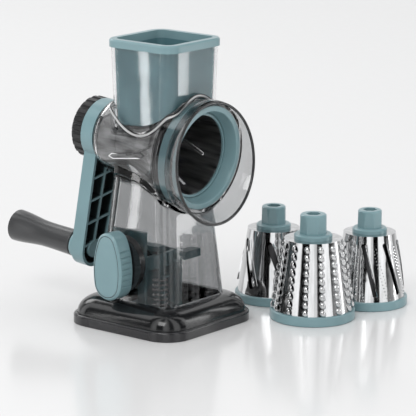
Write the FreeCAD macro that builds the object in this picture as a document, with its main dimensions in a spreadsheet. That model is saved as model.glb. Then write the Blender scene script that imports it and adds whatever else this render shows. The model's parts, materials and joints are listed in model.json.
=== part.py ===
"""Rotary drum shredder with a suction stand, a lift-out pusher, a crank and four cutting drums.

Frame: millimetres, +Z up, origin on the table under the centre of the stand.
The drum axis lies in the plane X = 0 and falls by axis_tilt towards the mouth, which faces -Y.
Pieces on that axis are turned about their own Z, which starts at the mouth and runs back to the crank.
"""
import FreeCAD
import Part
import math
import os
import Sketcher
from FreeCAD import Placement, Rotation, Vector

OUT = "parts"
SIZES = {
    # stand
    "base_side": 143, "base_corner": 28, "foot_height": 10, "foot_width": 10,
    "skirt_side": 137, "skirt_corner": 27, "skirt_wall": 3, "skirt_top": 28,
    "column_foot_side": 97, "column_top_side": 73, "column_corner": 15, "column_top": 168, "wall": 2.6,
    "plate_side": 118, "plate_corner": 22, "plate_thick": 3, "plate_gap": 0.3,
    "pad_radius": 54, "pad_thick": 2.4, "pad_dish": 5, "stud_radius": 4, "stud_height": 12,
    # drum axis
    "axis_tilt": 5, "mouth_reach": 58.7, "mouth_height": 175.7, "gap": 0.3,
    "collar_radius": 52.8, "collar_depth": 18, "collar_face_bore": 47.2, "collar_bore": 43.9,
    "collar_cone": 12, "seal_thick": 3.2, "seal_bore": 46.5,
    "mouth_radius": 55.8, "mouth_depth": 25, "throat_radius": 51, "throat_depth": 34,
    "waist_radius": 44, "waist_depth": 73, "tail_radius": 37, "tail_depth": 116, "chamber_length": 121,
    "bush_radius": 16.5, "bush_bore": 14.2, "bush_length": 5.5, "bush_flange": 19,
    # hopper and pusher
    "hopper_foot_side": 78, "hopper_top_side": 83, "hopper_corner": 13, "hopper_shift": 4,
    "hopper_foot": 187, "hopper_top": 282.5, "pusher_gap": 1, "pusher_wall": 2.2,
    "rim_side": 87, "rim_corner": 15, "rim_height": 8, "drum_clearance": 2,
    "saddle_width": 4, "saddle_thick": 2.2, "rib_half": 27, "rib_height": 3.2, "rib_line": 1.1, "rib_proud": 0.9,
    "rib_back": 8.5, "rib_level": 176, "rib_rise": 9,
    # guard
    "guard_sleeve": 6, "guard_wall": 2, "guard_rim_radius": 59.5, "guard_reach": 11.8, "guard_drop": 3.5,
    "guard_lean": 9.8,
    # drums
    "drum_ring_radius": 43.5, "drum_ring_lip": 40.7, "drum_ring_height": 10, "drum_seat": 12.5,
    "small_share": 0.92,
    "cone_foot_radius": 41.6, "cone_top_radius": 29.5, "cone_foot": 2, "cone_height": 81, "sheet_steel": 0.8,
    "hub_flange_radius": 19.5, "hub_flange_height": 5, "hub_radius": 14.5, "hub_tip_radius": 13.6,
    "hub_height": 20, "hub_flat": 13.2, "hub_facet_round": 1, "socket_radius": 7.65, "socket_depth": 16,
    "tooth_pitch": 7.9, "tooth_start": 13.5, "tooth_hole": 3.8, "slot_level": 45,
    # crank
    "crank_length": 123, "crank_angle": 8, "arm_start": 124, "arm_depth": 15.5, "arm_head_radius": 32,
    "arm_half_width": 21.5, "arm_end_radius": 18.5, "arm_wall": 3, "arm_web": 3, "arm_rib": 2,
    "rib_slant": 18, "rib_pitch": 24, "boss_radius": 14.5, "boss_height": 9.5,
    "lock_radius": 32, "lock_thick": 13.5, "lock_groove": 2.4,
    "shaft_radius": 6, "hex_across": 12.6, "grip_pin_radius": 4, "grip_length": 87, "grip_bore": 4.08,
    "grip_neck_radius": 13.6, "grip_waist_radius": 12.8, "grip_end_radius": 16.6,
    # suction lever
    "knob_height": 66, "knob_back": 12, "knob_plane": 53, "knob_thick": 18.5, "knob_low_radius": 17.5,
    "knob_high_radius": 13, "knob_low": 16.5, "knob_high": 21.5, "knob_flank": 80, "cap_inset": 2.6,
    "flute_low": 18.5, "flute_pitch": 5.8, "flute_radius": 1.4, "flute_depth": 1.1,
    "bezel_radius": 29, "knob_shaft_radius": 5, "cam_radius": 9.5, "cam_offset": 3, "cam_thick": 9,
    "yoke_wall": 2.5, "cam_play": 0.4,
    "bracket_half": 21, "bracket_high": 98, "bracket_low": 72, "bracket_thick": 4,
    "spring_radius": 8, "spring_wire": 0.8, "spring_turns": 6,
    "screw_radius": 1.6, "screw_head": 3.2,
}
FOOTPRINTS = {"coarse": (107.1, -111.2), "slicing": (141.5, -33.9), "slotted": (190.6, -121.6)}

doc = FreeCAD.newDocument("drum_shredder")
sheet = doc.addObject("Spreadsheet::Sheet", "sizes")
for row, (alias, value) in enumerate(SIZES.items(), start=1):
    sheet.set(f"A{row}", alias.replace("_", " "))
    sheet.set(f"B{row}", str(value))
    sheet.setAlias(f"B{row}", alias)
doc.recompute()
nodes = {}


def size(alias):
    """A driving dimension, as the sheet holds it."""
    return float(sheet.get(alias))


def cell(text):
    """An expression in which every word that is an alias reads the sheet."""
    words = sorted(SIZES, key=len, reverse=True)
    out, at = "", 0
    while at < len(text):
        found = next((w for w in words if text.startswith(w, at)), None)
        before = text[at - 1] if at else " "
        if found and not (before.isalnum() or before == "_"):
            out += "sizes." + found
            at += len(found)
        else:
            out += text[at]
            at += 1
    return out


def number(text):
    """The value of such an expression, for a first drawing that the constraints then hold."""
    return float(sheet.evalExpression(cell(text))) if not text.replace(".", "", 1).isdigit() else float(text)


def node(obj, label, placement=None):
    """Gives a finished piece its name and its place, and lists it for export."""
    obj.Label = label
    if placement is not None:
        obj.Placement = placement
    nodes[label] = obj
    return obj


def axis_place(depth=0.0, turn=0.0, x=0.0, down=0.0):
    """A placement on the drum axis: Z runs back from the mouth, Y runs down, and turn is about Z."""
    tilt = Rotation(Vector(1, 0, 0), size("axis_tilt") - 90)
    mouth = Vector(0, -size("mouth_reach"), size("mouth_height"))
    return Placement(mouth + tilt.multVec(Vector(x, down, depth)), tilt * Rotation(Vector(0, 0, 1), turn))


def origin_plane(body, role):
    return next(f for f in body.Origin.OriginFeatures if f.Role == role)


def new_sketch(body, name, role="XY_Plane"):
    sketch = body.newObject("Sketcher::SketchObject", name)
    sketch.AttachmentSupport = [(origin_plane(body, role), "")]
    sketch.MapMode = "FlatFace"
    return sketch


def hold(sketch, kind, geometry, vertex, text):
    """Holds one coordinate of a sketch point at an expression, or on the axis where it is 0."""
    if text == "0":
        sketch.addConstraint(Sketcher.Constraint("PointOnObject", geometry, vertex, -2 if kind == "DistanceX" else -1))
        return
    at = sketch.addConstraint(Sketcher.Constraint(kind, -1, 1, geometry, vertex, number(text)))
    sketch.setExpression(f"Constraints[{at}]", cell(text))


def turned(name, profile):
    """A body turned about Z from a closed profile of (radius, height) expressions."""
    body = doc.addObject("PartDesign::Body", name)
    sketch = new_sketch(body, name + "_profile", "XZ_Plane")
    points = [Vector(number(r), number(z), 0) for r, z in profile]
    for i, point in enumerate(points):
        sketch.addGeometry(Part.LineSegment(point, points[(i + 1) % len(points)]), False)
    for i in range(len(points)):
        sketch.addConstraint(Sketcher.Constraint("Coincident", i, 2, (i + 1) % len(points), 1))
        hold(sketch, "DistanceX", i, 1, profile[i][0])
        hold(sketch, "DistanceY", i, 1, profile[i][1])
    turn = body.newObject("PartDesign::Revolution", name + "_turn")
    turn.Profile = sketch
    turn.ReferenceAxis = (sketch, ["V_Axis"])
    turn.Angle = 360
    doc.recompute()
    return body


def round_edges(body, name, edges, radius):
    """A fillet on the named edges of the body's last feature, its radius an expression."""
    fillet = body.newObject("PartDesign::Fillet", name)
    fillet.Base = (body.Tip if body.Tip is not fillet else fillet.BaseFeature, edges)
    fillet.setExpression("Radius", cell(radius))
    doc.recompute()
    return fillet


def level_edges(shape, height, low_radius=0.0, high_radius=1e9):
    """Names of the round edges that lie in the plane at this height, with a radius between the two."""
    found = []
    for i, edge in enumerate(shape.Edges, start=1):
        box = edge.BoundBox
        if box.ZLength < 1e-6 and abs(box.ZMin - height) < 1e-6 and isinstance(edge.Curve, Part.Circle):
            if low_radius <= edge.Curve.Radius <= high_radius:
                found.append(f"Edge{i}")
    return found


def feature(name, shape):
    """A piece whose shape no feature makes, set with Part's own functions from the sheet's sizes."""
    piece = doc.addObject("Part::Feature", name)
    piece.Shape = shape
    return piece


def rounded_wire(side, corner, height, shift_y=0.0):
    """A square with round corners, level, centred on Z."""
    half, flat, turn = side / 2, side / 2 - corner, math.sqrt(0.5) * corner
    edges = []
    for quarter in range(4):
        spin = Rotation(Vector(0, 0, 1), 90 * quarter)
        start, end = Vector(half, -flat, 0), Vector(half, flat, 0)
        middle, stop = Vector(flat + turn, flat + turn, 0), Vector(flat, half, 0)
        edges.append(Part.LineSegment(spin.multVec(start), spin.multVec(end)).toShape())
        edges.append(Part.Arc(spin.multVec(end), spin.multVec(middle), spin.multVec(stop)).toShape())
    wire = Part.Wire(edges)
    wire.translate(Vector(0, shift_y, height))
    return wire


def tapered(levels, shift_y=0.0, ruled=True):
    """A solid through level rounded squares, each given as (side, corner, height)."""
    return Part.makeLoft([rounded_wire(s, c, z, shift_y) for s, c, z in levels], True, ruled)


def tube_x(radius, start, end, y, z):
    return Part.makeCylinder(radius, end - start, Vector(start, y, z), Vector(1, 0, 0))


def block(x, y, z):
    """A box between three pairs of coordinates."""
    return Part.makeBox(x[1] - x[0], y[1] - y[0], z[1] - z[0], Vector(x[0], y[0], z[0]))


def horn(grow, length_grow=0.0, back_grow=0.0):
    """The chamber's outer form as a solid of revolution, grown all over by the given amount."""
    points = [("throat_radius", "throat_depth"), ("waist_radius", "waist_depth"), ("tail_radius", "tail_depth")]
    mouth, deep = size("mouth_radius") + grow, size("mouth_depth")
    curve = Part.BSplineCurve()
    through = [Vector(mouth, 0, deep)] + [Vector(size(r) + grow, 0, size(d)) for r, d in points]
    curve.interpolate(through)
    back = size("chamber_length") + back_grow
    rounded = size("chamber_length") - size("tail_depth")
    tail = Vector(size("tail_radius") + grow, 0, size("tail_depth"))
    corner = Vector(tail.x - rounded * 0.3, 0, tail.z + (back - tail.z) * 0.72)
    end = Vector(tail.x - rounded, 0, back)
    edges = [
        Part.LineSegment(Vector(0, 0, -length_grow), Vector(mouth, 0, -length_grow)).toShape(),
        Part.LineSegment(Vector(mouth, 0, -length_grow), through[0]).toShape(),
        curve.toShape(),
        Part.Arc(tail, corner, end).toShape(),
        Part.LineSegment(end, Vector(0, 0, back)).toShape(),
        Part.LineSegment(Vector(0, 0, back), Vector(0, 0, -length_grow)).toShape(),
    ]
    solid = Part.Face(Part.Wire(edges)).revolve(Vector(0, 0, 0), Vector(0, 0, 1), 360)
    solid = solid if isinstance(solid, Part.Solid) else Part.Solid(Part.Shell(solid.Faces))
    solid.Placement = axis_place()
    return solid


def column_side(height):
    """Outer side of the tapered column at a height."""
    share = (height - size("skirt_top")) / (size("column_top") - size("skirt_top"))
    return size("column_foot_side") + share * (size("column_top_side") - size("column_foot_side"))


def column_solid(grow, low, high):
    corner = size("column_corner") + grow
    return tapered([(column_side(z) + 2 * grow, corner, z) for z in (low, high)])


# ---------------------------------------------------------------- stand


def make_foot_rim():
    body = doc.addObject("PartDesign::Body", "FootRim")
    pad_sketch = new_sketch(body, "FootRimOutline")
    side = number("base_side")
    corners = [(-1, -1), (1, -1), (1, 1), (-1, 1)]
    for i, (u, v) in enumerate(corners):
        nu, nv = corners[(i + 1) % 4]
        start, end = Vector(u * side / 2, v * side / 2, 0), Vector(nu * side / 2, nv * side / 2, 0)
        pad_sketch.addGeometry(Part.LineSegment(start, end), False)
    for i in range(4):
        pad_sketch.addConstraint(Sketcher.Constraint("Coincident", i, 2, (i + 1) % 4, 1))
    for line, kind in ((0, "Horizontal"), (2, "Horizontal"), (1, "Vertical"), (3, "Vertical")):
        pad_sketch.addConstraint(Sketcher.Constraint(kind, line))
    pad_sketch.addConstraint(Sketcher.Constraint("Symmetric", 0, 1, 2, 1, -1, 1))
    for line, kind in ((0, "DistanceX"), (1, "DistanceY")):
        at = pad_sketch.addConstraint(Sketcher.Constraint(kind, line, 1, line, 2, side))
        pad_sketch.setExpression(f"Constraints[{at}]", cell("base_side"))
    pad = body.newObject("PartDesign::Pad", "FootRimPad")
    pad.Profile = pad_sketch
    pad.setExpression("Length", cell("foot_height"))
    doc.recompute()
    upright = [f"Edge{i}" for i, e in enumerate(pad.Shape.Edges, 1) if e.BoundBox.ZLength > 1]
    round_edges(body, "FootRimCorners", upright, "base_corner")
    top = [f"Edge{i}" for i, e in enumerate(body.Tip.Shape.Edges, 1)
           if e.BoundBox.ZLength < 1e-6 and e.BoundBox.ZMin > size("foot_height") - 1e-6]
    round_edges(body, "FootRimTop", top, "foot_width / 4")
    hole = new_sketch(body, "FootRimHole")
    inner = number("base_side - 2 * foot_width")
    reach = inner / 2
    for i, (u, v) in enumerate(corners):
        nu, nv = corners[(i + 1) % 4]
        hole.addGeometry(Part.LineSegment(Vector(u * reach, v * reach, 0), Vector(nu * reach, nv * reach, 0)), False)
    for i in range(4):
        hole.addConstraint(Sketcher.Constraint("Coincident", i, 2, (i + 1) % 4, 1))
    for line, kind in ((0, "Horizontal"), (2, "Horizontal"), (1, "Vertical"), (3, "Vertical")):
        hole.addConstraint(Sketcher.Constraint(kind, line))
    hole.addConstraint(Sketcher.Constraint("Symmetric", 0, 1, 2, 1, -1, 1))
    for line, kind in ((0, "DistanceX"), (1, "DistanceY")):
        at = hole.addConstraint(Sketcher.Constraint(kind, line, 1, line, 2, inner))
        hole.setExpression(f"Constraints[{at}]", cell("base_side - 2 * foot_width"))
    pocket = body.newObject("PartDesign::Pocket", "FootRimPocket")
    pocket.Profile = hole
    pocket.Type = "ThroughAll"
    pocket.Reversed = True
    doc.recompute()
    node(body, "foot_rim")


def make_suction_pad():
    """A dished rubber disc, thin at its lip, with a stud that the yoke pulls."""
    node(turned("SuctionPad", [
        ("0", "pad_dish"), ("pad_radius * 0.6", "pad_dish - 1.2"), ("pad_radius", "0.6"),
        ("pad_radius", "0.6 + pad_thick * 0.5"), ("pad_radius * 0.6", "pad_dish + pad_thick - 1.2"),
        ("stud_radius * 2", "pad_dish + pad_thick"), ("stud_radius", "pad_dish + pad_thick + 3"),
        ("stud_radius", "pad_dish + stud_height"), ("0", "pad_dish + stud_height"),
    ]), "suction_pad")


def make_base_plate():
    low = size("foot_height") + size("plate_gap")
    high = low + size("plate_thick")
    plate = tapered([(size("plate_side"), size("plate_corner"), z) for z in (low, high)])
    hole = Part.makeCylinder(size("stud_radius") + 2, high, Vector(0, 0, 0))
    plate = plate.cut(hole)
    reach = size("plate_side") / 2 - 14
    for u, v in ((1, 1), (1, -1), (-1, 1), (-1, -1)):
        plate = plate.cut(Part.makeCylinder(size("screw_radius") + 0.1, high, Vector(u * reach, v * reach, 0)))
    node(feature("BasePlate", plate), "base_plate")


def make_base_screws():
    """Four pan-head screws that hold the plate up into the skirt."""
    low = size("foot_height") + size("plate_gap")
    reach = size("plate_side") / 2 - 14
    screws = []
    for u, v in ((1, 1), (1, -1), (-1, 1), (-1, -1)):
        at = Vector(u * reach, v * reach, low - 2)
        head = Part.makeCylinder(size("screw_head"), 2, at)
        slot = Part.makeBox(size("screw_head") * 1.4, 0.9, 0.9, at - Vector(size("screw_head") * 0.7, 0.45, 0))
        shank = Part.makeCylinder(size("screw_radius"), 8, at + Vector(0, 0, 1.9))
        screws.append(head.fuse(shank).removeSplitter().cut(slot))
    node(feature("BaseScrews", Part.makeCompound(screws)), "base_screws")


def skirt_levels(inset):
    """The skirt's domed outline, from its hem to the column's foot."""
    hem, top = size("foot_height"), size("skirt_top")
    side, foot = size("skirt_side") - 2 * inset, size("column_foot_side") - 2 * inset
    corner, column_corner = size("skirt_corner") - inset, size("column_corner") - inset
    levels = []
    for share in (0.0, 0.35, 0.65, 0.88, 1.0):
        lift = math.sin(share * math.pi / 2)
        draw = 1 - math.cos(share * math.pi / 2)
        levels.append((side + draw * (foot - side), corner + draw * (column_corner - corner), hem + lift * (top - hem)))
    return levels


def make_base_skirt():
    outer = tapered(skirt_levels(0.0), ruled=False)
    inner = tapered([(s, c, z - size("skirt_wall")) for s, c, z in skirt_levels(size("skirt_wall"))], ruled=False)
    low = size("foot_height") - 1
    trim = block((-90, 90), (-90, 90), (low - 20, size("foot_height") + 0.1))
    shell = outer.cut(trim).cut(inner)
    opening = column_solid(-size("wall"), size("skirt_top") - 12, size("skirt_top") + 1)
    node(feature("BaseSkirt", shell.cut(opening)), "base_skirt")


def make_column_shell():
    """The hollow column, cut out above to sit round the chamber, and bored for the lever's shaft."""
    low, high = size("skirt_top") + 0.02, size("column_top")
    outer, inner = column_solid(0, low, high), column_solid(-size("wall"), low - 1, high + 1)
    shell = outer.cut(inner).cut(horn(4.6, 20, 3))
    bore = tube_x(size("knob_shaft_radius") + 0.6, -60, 0, size("knob_back"), size("knob_height"))
    above = block((-60, 60), (-60, 60), (160, 200))
    node(feature("ColumnShell", shell.cut(bore).cut(above)), "column_shell")


def make_cradle():
    """The seat on the column's top, curved to the underside of the chamber."""
    seat = horn(4.3, 0, 3).cut(horn(size("gap"), 20, 3))
    footprint = column_solid(1.5, 90, 165)
    node(feature("CabinCradle", seat.common(footprint)), "cabin_cradle")


def make_bracket():
    """The inner frame that carries the lever's shaft: two uprights, a cross bar and a tie to the far wall."""
    half, thick, back = size("bracket_half"), size("bracket_thick"), size("knob_back")
    low = size("foot_height") + size("plate_gap") + size("plate_thick")
    y = (back - half, back + half)
    near = block((-36, -36 + thick), y, (low, size("bracket_high")))
    far = block((16, 16 + thick), y, (low, size("bracket_low")))
    bar = block((-36, 16 + thick), (y[0], y[0] + thick), (58, size("bracket_low")))
    tie = block((16, 40), (y[0] - thick * 2, y[0] + thick), (62, 70))
    foot = block((-36, 16 + thick), (y[0], y[1]), (low, low + 2))
    solid = near.multiFuse([far, bar, tie, foot]).removeSplitter()
    bore = tube_x(size("knob_shaft_radius") + 0.03, -45, 30, back, size("knob_height"))
    stem = Part.makeCylinder(size("spring_radius") + 2.4, 12, Vector(0, 0, low - 1))
    window = block((-40, -28), (back - 12, back + 12), (22, 44))
    node(feature("ShaftBracket", solid.cut(bore).cut(stem).cut(window)), "shaft_bracket")


def make_bezel():
    """The round boss on the column behind the lever, cut to the column's sloping wall."""
    height, back = size("knob_height"), size("knob_back")
    disc = tube_x(size("bezel_radius"), -size("knob_plane") + 0.4, -38, back, height)
    disc = disc.cut(column_solid(0, size("skirt_top") + 0.02, 165))
    bore = tube_x(size("knob_shaft_radius") + 0.6, -60, 0, back, height)
    ring = tube_x(size("bezel_radius") - 3, -60, -size("knob_plane") + 1.6, back, height)
    node(feature("KnobBezel", disc.cut(bore).cut(ring)), "knob_bezel")


# ---------------------------------------------------------------- suction lever


def flank_centre():
    """How far the centre of a flank arc lies across from the lever's middle and above its low end's centre."""
    apart = size("knob_low") + size("knob_high")
    low_d, high_d = size("knob_flank") - size("knob_low_radius"), size("knob_flank") - size("knob_high_radius")
    along = (low_d ** 2 - high_d ** 2 + apart ** 2) / (2 * apart)
    return math.sqrt(low_d ** 2 - along ** 2), along


def flank_reach(v):
    """Half the lever's width at a height above its shaft, anywhere on the flank arcs."""
    off, along = flank_centre()
    return math.sqrt(size("knob_flank") ** 2 - (v + size("knob_low") - along) ** 2) - off


def egg_face(inset, x):
    """The lever's egg outline in a plane of constant X: two end arcs joined by long tangent arcs."""
    low_r, high_r = size("knob_low_radius") - inset, size("knob_high_radius") - inset
    low, high, flank = -size("knob_low"), size("knob_high"), size("knob_flank") - inset
    off, along = flank_centre()

    def point(u, v):
        return Vector(x, size("knob_back") + u, size("knob_height") + v)

    def beyond(centre_u, centre_v, end_v, radius):
        """Where the flank arc with this centre touches the end arc at end_v."""
        du, dv = -centre_u, end_v - centre_v
        length = math.hypot(du, dv)
        return du / length * radius, end_v + dv / length * radius

    pieces = []
    for hand in (1, -1):
        cu, cv = -hand * off, low + along
        lu, lv = beyond(cu, cv, low, low_r)
        hu, hv = beyond(cu, cv, high, high_r)
        pieces.append((point(lu, lv), point(cu + hand * flank, cv), point(hu, hv)))
    right, left = pieces
    edges = [
        Part.Arc(*right).toShape(),
        Part.Arc(right[2], point(0, high + high_r), left[2]).toShape(),
        Part.Arc(left[2], left[1], left[0]).toShape(),
        Part.Arc(left[0], point(0, low - low_r), right[0]).toShape(),
    ]
    return Part.Face(Part.Wire(edges))


def make_knob():
    """The egg-shaped lever, bevelled at the front, with grip flutes on both flanks and a pocket for its cap."""
    front = -size("knob_plane") - size("knob_thick")
    body = egg_face(0, front + 2).extrude(Vector(size("knob_thick") - 2, 0, 0))
    bevel = Part.makeLoft([egg_face(1.8, front).OuterWire, egg_face(0, front + 2).OuterWire], True, True)
    solid = body.fuse(bevel).removeSplitter()
    solid = solid.cut(egg_face(size("cap_inset") + 0.15, front - 1).extrude(Vector(3.2, 0, 0)))
    solid = solid.cut(tube_x(size("screw_head") + 0.4, front, front + 6, size("knob_back"), size("knob_height")))
    solid = solid.cut(tube_x(size("knob_shaft_radius"), front + 8, 0, size("knob_back"), size("knob_height")))
    solid = solid.cut(tube_x(size("screw_radius") + 0.1, front, front + 9, size("knob_back"), size("knob_height")))
    for hand in (1, -1):
        for step in range(7):
            v = -size("flute_low") + size("flute_pitch") * step
            u = hand * (flank_reach(v) + size("flute_radius") - size("flute_depth"))
            solid = solid.cut(tube_x(size("flute_radius"), front + 3, -size("knob_plane") - 1.5,
                                     size("knob_back") + u, size("knob_height") + v))
    node(feature("SuctionKnob", solid), "suction_knob")


def make_knob_cap():
    front = -size("knob_plane") - size("knob_thick")
    cap = egg_face(size("cap_inset") + 0.3, front + 0.3).extrude(Vector(1.8, 0, 0))
    crown = Part.makeLoft([egg_face(size("cap_inset") + 1.5, front - 0.5).OuterWire,
                           egg_face(size("cap_inset") + 0.3, front + 0.3).OuterWire], True, True)
    node(feature("KnobCap", cap.fuse(crown).removeSplitter()), "knob_cap")


def make_knob_shaft():
    """The shaft across the column, with the round cam that lifts the yoke."""
    front, back, height = -size("knob_plane") - size("knob_thick"), size("knob_back"), size("knob_height")
    shaft = tube_x(size("knob_shaft_radius") - 0.02, front + 8, 21, back, height)
    cam = tube_x(size("cam_radius"), -size("cam_thick") / 2 - 4, size("cam_thick") / 2 - 4, back, height - size("cam_offset"))
    node(feature("KnobShaft", shaft.fuse(cam).removeSplitter()), "knob_shaft")


def make_knob_screw():
    front, back, height = -size("knob_plane") - size("knob_thick"), size("knob_back"), size("knob_height")
    head = tube_x(size("screw_head"), front + 3.6, front + 5.9, back, height)
    shank = tube_x(size("screw_radius"), front + 5.8, front + 7.9, back, height)
    node(feature("KnobScrew", head.fuse(shank).removeSplitter()), "knob_screw")


def make_yoke():
    """A window round the cam, and a stem down to the pad's stud. The cam lifts the window's upper bar."""
    back, height = size("knob_back"), size("knob_height")
    wall, play = size("yoke_wall"), size("cam_play")
    reach = size("cam_radius") + size("cam_offset") + play
    x = (-4 - size("cam_thick") / 2 - 1, -4 + size("cam_thick") / 2 + 1)
    ceiling, floor = height + size("cam_radius") - size("cam_offset") + play, height - reach - 1.5
    top, low = ceiling + 5, floor - 5
    frame = block(x, (back - reach - wall, back + reach + wall), (low, top))
    frame = frame.cut(block((x[0] - 1, x[1] + 1), (back - reach, back + reach), (floor, ceiling)))
    stem_foot = size("pad_dish") + size("stud_height") + 0.1
    stem = Part.makeCylinder(size("stud_radius"), low + 1 - stem_foot, Vector(0, 0, stem_foot))
    collar = Part.makeCylinder(size("spring_radius") + 1.8, 2, Vector(0, 0, low - 1))
    node(feature("LiftYoke", frame.multiFuse([stem, collar]).removeSplitter()), "lift_yoke")


def make_spring():
    """A coil between the base plate and the yoke."""
    height, reach = size("knob_height"), size("cam_radius") + size("cam_offset") + size("cam_play")
    wire, turns = size("spring_wire"), size("spring_turns")
    low = size("foot_height") + size("plate_gap") + size("plate_thick") + wire + 0.1
    high = height - reach - 7.5 - wire - 0.1
    helix = Part.makeHelix((high - low) / turns, high - low, size("spring_radius"))
    section = Part.Wire(Part.makeCircle(wire, Vector(size("spring_radius"), 0, 0), Vector(0, 1, 0)))
    coil = Part.Wire(helix.Edges).makePipeShell([section], True, True)
    coil.translate(Vector(0, 0, low))
    node(feature("ReturnSpring", coil), "return_spring")


# ---------------------------------------------------------------- cabin


def hopper_solid(inset, low, high):
    share = size("hopper_top") - size("hopper_foot")

    def side(z):
        return size("hopper_foot_side") + (z - size("hopper_foot")) / share * (
            size("hopper_top_side") - size("hopper_foot_side")) - 2 * inset

    return tapered([(side(z), size("hopper_corner") - inset, z) for z in (low, high)], -size("hopper_shift"))


def chamber_hollow():
    """The space inside the chamber, with the seat for the collar and its seal."""
    seat = Part.makeCylinder(size("collar_radius") + 0.05, size("collar_depth") + size("seal_thick") + 1.2, Vector(0, 0, -1))
    wall = size("wall")
    points = [(size("throat_radius") - wall, size("collar_depth") + size("seal_thick")),
              (size("throat_radius") - wall, size("throat_depth")),
              (size("waist_radius") - wall, size("waist_depth")),
              (size("tail_radius") - wall, size("tail_depth") - 2),
              (size("tail_radius") - wall - 2, size("chamber_length") - wall)]
    outline = [Vector(0, 0, points[0][1])] + [Vector(r, 0, t) for r, t in points]
    outline += [Vector(0, 0, points[-1][1]), Vector(0, 0, points[0][1])]
    bore = Part.Face(Part.makePolygon(outline)).revolve(Vector(0, 0, 0), Vector(0, 0, 1), 360)
    hollow = seat.fuse(bore)
    hollow.Placement = axis_place()
    return hollow


def make_cabin():
    """The clear chamber, and the hopper that is bonded to it on the saddle line."""
    foot, top = size("hopper_foot"), size("hopper_top")
    throat = hopper_solid(size("wall"), foot, top + 1)
    bore = Part.makeCylinder(size("bush_radius") + 0.02, 20)
    bore.Placement = axis_place(size("chamber_length") - 10)
    node(feature("CabinShell", horn(0.0).cut(chamber_hollow().fuse(throat)).cut(bore)), "cabin_shell")
    hopper = hopper_solid(0, foot, top).cut(throat).cut(horn(0.02, 1, 0))
    node(feature("HopperShell", hopper), "hopper_shell")


def make_saddle():
    """A raised flange on the chamber, all round the hopper's foot."""
    foot, top = size("hopper_foot"), size("hopper_top")
    pad = hopper_solid(-size("saddle_width"), foot + 3, top).common(horn(size("saddle_thick"), 0, 0))
    pad = pad.cut(horn(0.02, 1, 0)).cut(hopper_solid(-0.02, foot, top + 1))
    above = block((-60, 60), (-60, 60), (195, 260))
    node(feature("SaddleFlange", pad.common(above)), "saddle_flange")


def make_side_rib():
    """A raised line in the shape of a long hexagon on the chamber's flank."""
    def plate(inset, x):
        half, rise = size("rib_half") - 2 * inset, size("rib_height") - inset
        outline = [(-half, 0), (-half + rise * 2, rise), (half - rise * 2, rise), (half, 0),
                   (half - rise * 2, -rise), (-half + rise * 2, -rise)]
        points = [Vector(x, u, v) for u, v in outline]
        face = Part.Face(Part.makePolygon(points + points[:1]))
        face.rotate(Vector(0, 0, 0), Vector(1, 0, 0), -size("rib_rise"))
        face.translate(Vector(0, size("rib_back"), size("rib_level")))
        return face

    frame = plate(0, -70).extrude(Vector(40, 0, 0)).cut(plate(size("rib_line"), -71).extrude(Vector(42, 0, 0)))
    rib = frame.common(horn(size("rib_proud"), 0, 0)).cut(horn(0.02, 1, 0))
    node(feature("SideRib", rib), "side_rib")


def make_collar():
    """The ring in the mouth that the drum's rim turns in."""
    body = turned("CollarRing", [
        ("collar_face_bore", "0"), ("collar_radius", "0"), ("collar_radius", "collar_depth"),
        ("collar_bore", "collar_depth"), ("collar_bore", "collar_cone"), ("collar_face_bore - 0.8", "2.4"),
    ])
    edges = level_edges(body.Tip.Shape, 0.0)
    round_edges(body, "CollarLip", edges, "0.9")
    node(body, "collar_ring", axis_place())


def make_seal():
    node(turned("CollarSeal", [
        ("seal_bore", "0.1"), ("collar_radius", "0.1"), ("collar_radius", "seal_thick"), ("seal_bore", "seal_thick"),
    ]), "collar_seal", axis_place(size("collar_depth")))


def make_bush():
    """The flanged bearing in the chamber's back wall."""
    node(turned("RearBush", [
        ("bush_bore", "0.1"), ("bush_radius", "0.1"), ("bush_radius", "bush_length - 1.5"),
        ("bush_flange", "bush_length - 1.5"), ("bush_flange", "bush_length"), ("bush_bore", "bush_length"),
    ]), "rear_bush", axis_place(size("chamber_length") - size("bush_length") + 1.6))


def make_guard():
    """The clear hood: a sleeve on the mouth, then an oblique flare that reaches furthest at the bottom."""
    wall, sleeve = size("guard_wall"), size("guard_sleeve")
    bore = size("mouth_radius") + size("gap")
    lean = Rotation(Vector(1, 0, 0), -size("guard_lean"))

    def flare(grow):
        """A solid between the mouth circle and the leaning rim."""
        near = Part.Wire(Part.makeCircle(bore + grow))
        rim = Part.makeCircle(size("guard_rim_radius") + grow)
        rim.Placement = Placement(Vector(0, size("guard_drop"), -size("guard_reach")), lean)
        return Part.makeLoft([near, Part.Wire(rim)], True, True)

    shell = flare(wall).cut(flare(0.0))
    ring = Part.makeCylinder(bore + wall, sleeve).cut(Part.makeCylinder(bore, sleeve))
    hood = shell.fuse(ring).removeSplitter()
    hood.Placement = axis_place()
    node(feature("SplashGuard", hood), "splash_guard")


def drum_clearance(grow):
    """The seated drum's cone and ring, grown, for cutting the pusher's foot to it."""
    start = size("drum_seat") + size("cone_foot")
    cone = Part.makeCone(size("cone_foot_radius") + grow + 1.5, size("cone_top_radius") + grow - 2, size("cone_height") + 30,
                         Vector(0, 0, start - 10))
    rim = Part.makeCylinder(size("drum_ring_radius") + grow - 1, size("drum_seat") + size("drum_ring_height") + 1)
    swept = cone.fuse(rim)
    swept.Placement = axis_place()
    return swept


def make_pusher():
    """A square cup that fills the hopper, its floor curved like the chamber under it."""
    inset = size("wall") + size("pusher_gap")
    low, high = size("hopper_foot"), size("hopper_top") + 0.4
    clearance, wall = size("drum_clearance"), size("pusher_wall")
    outer = hopper_solid(inset, low, high).cut(drum_clearance(clearance)).cut(horn(-wall, 1, 0))
    inner = hopper_solid(inset + wall, low - 1, high + 10).cut(drum_clearance(clearance + wall)).cut(horn(0.0, 1, 0))
    keep = block((-50, 50), (-60, 50), (200, 300))
    node(feature("PusherCup", outer.cut(inner).common(keep)), "pusher_cup")


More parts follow.
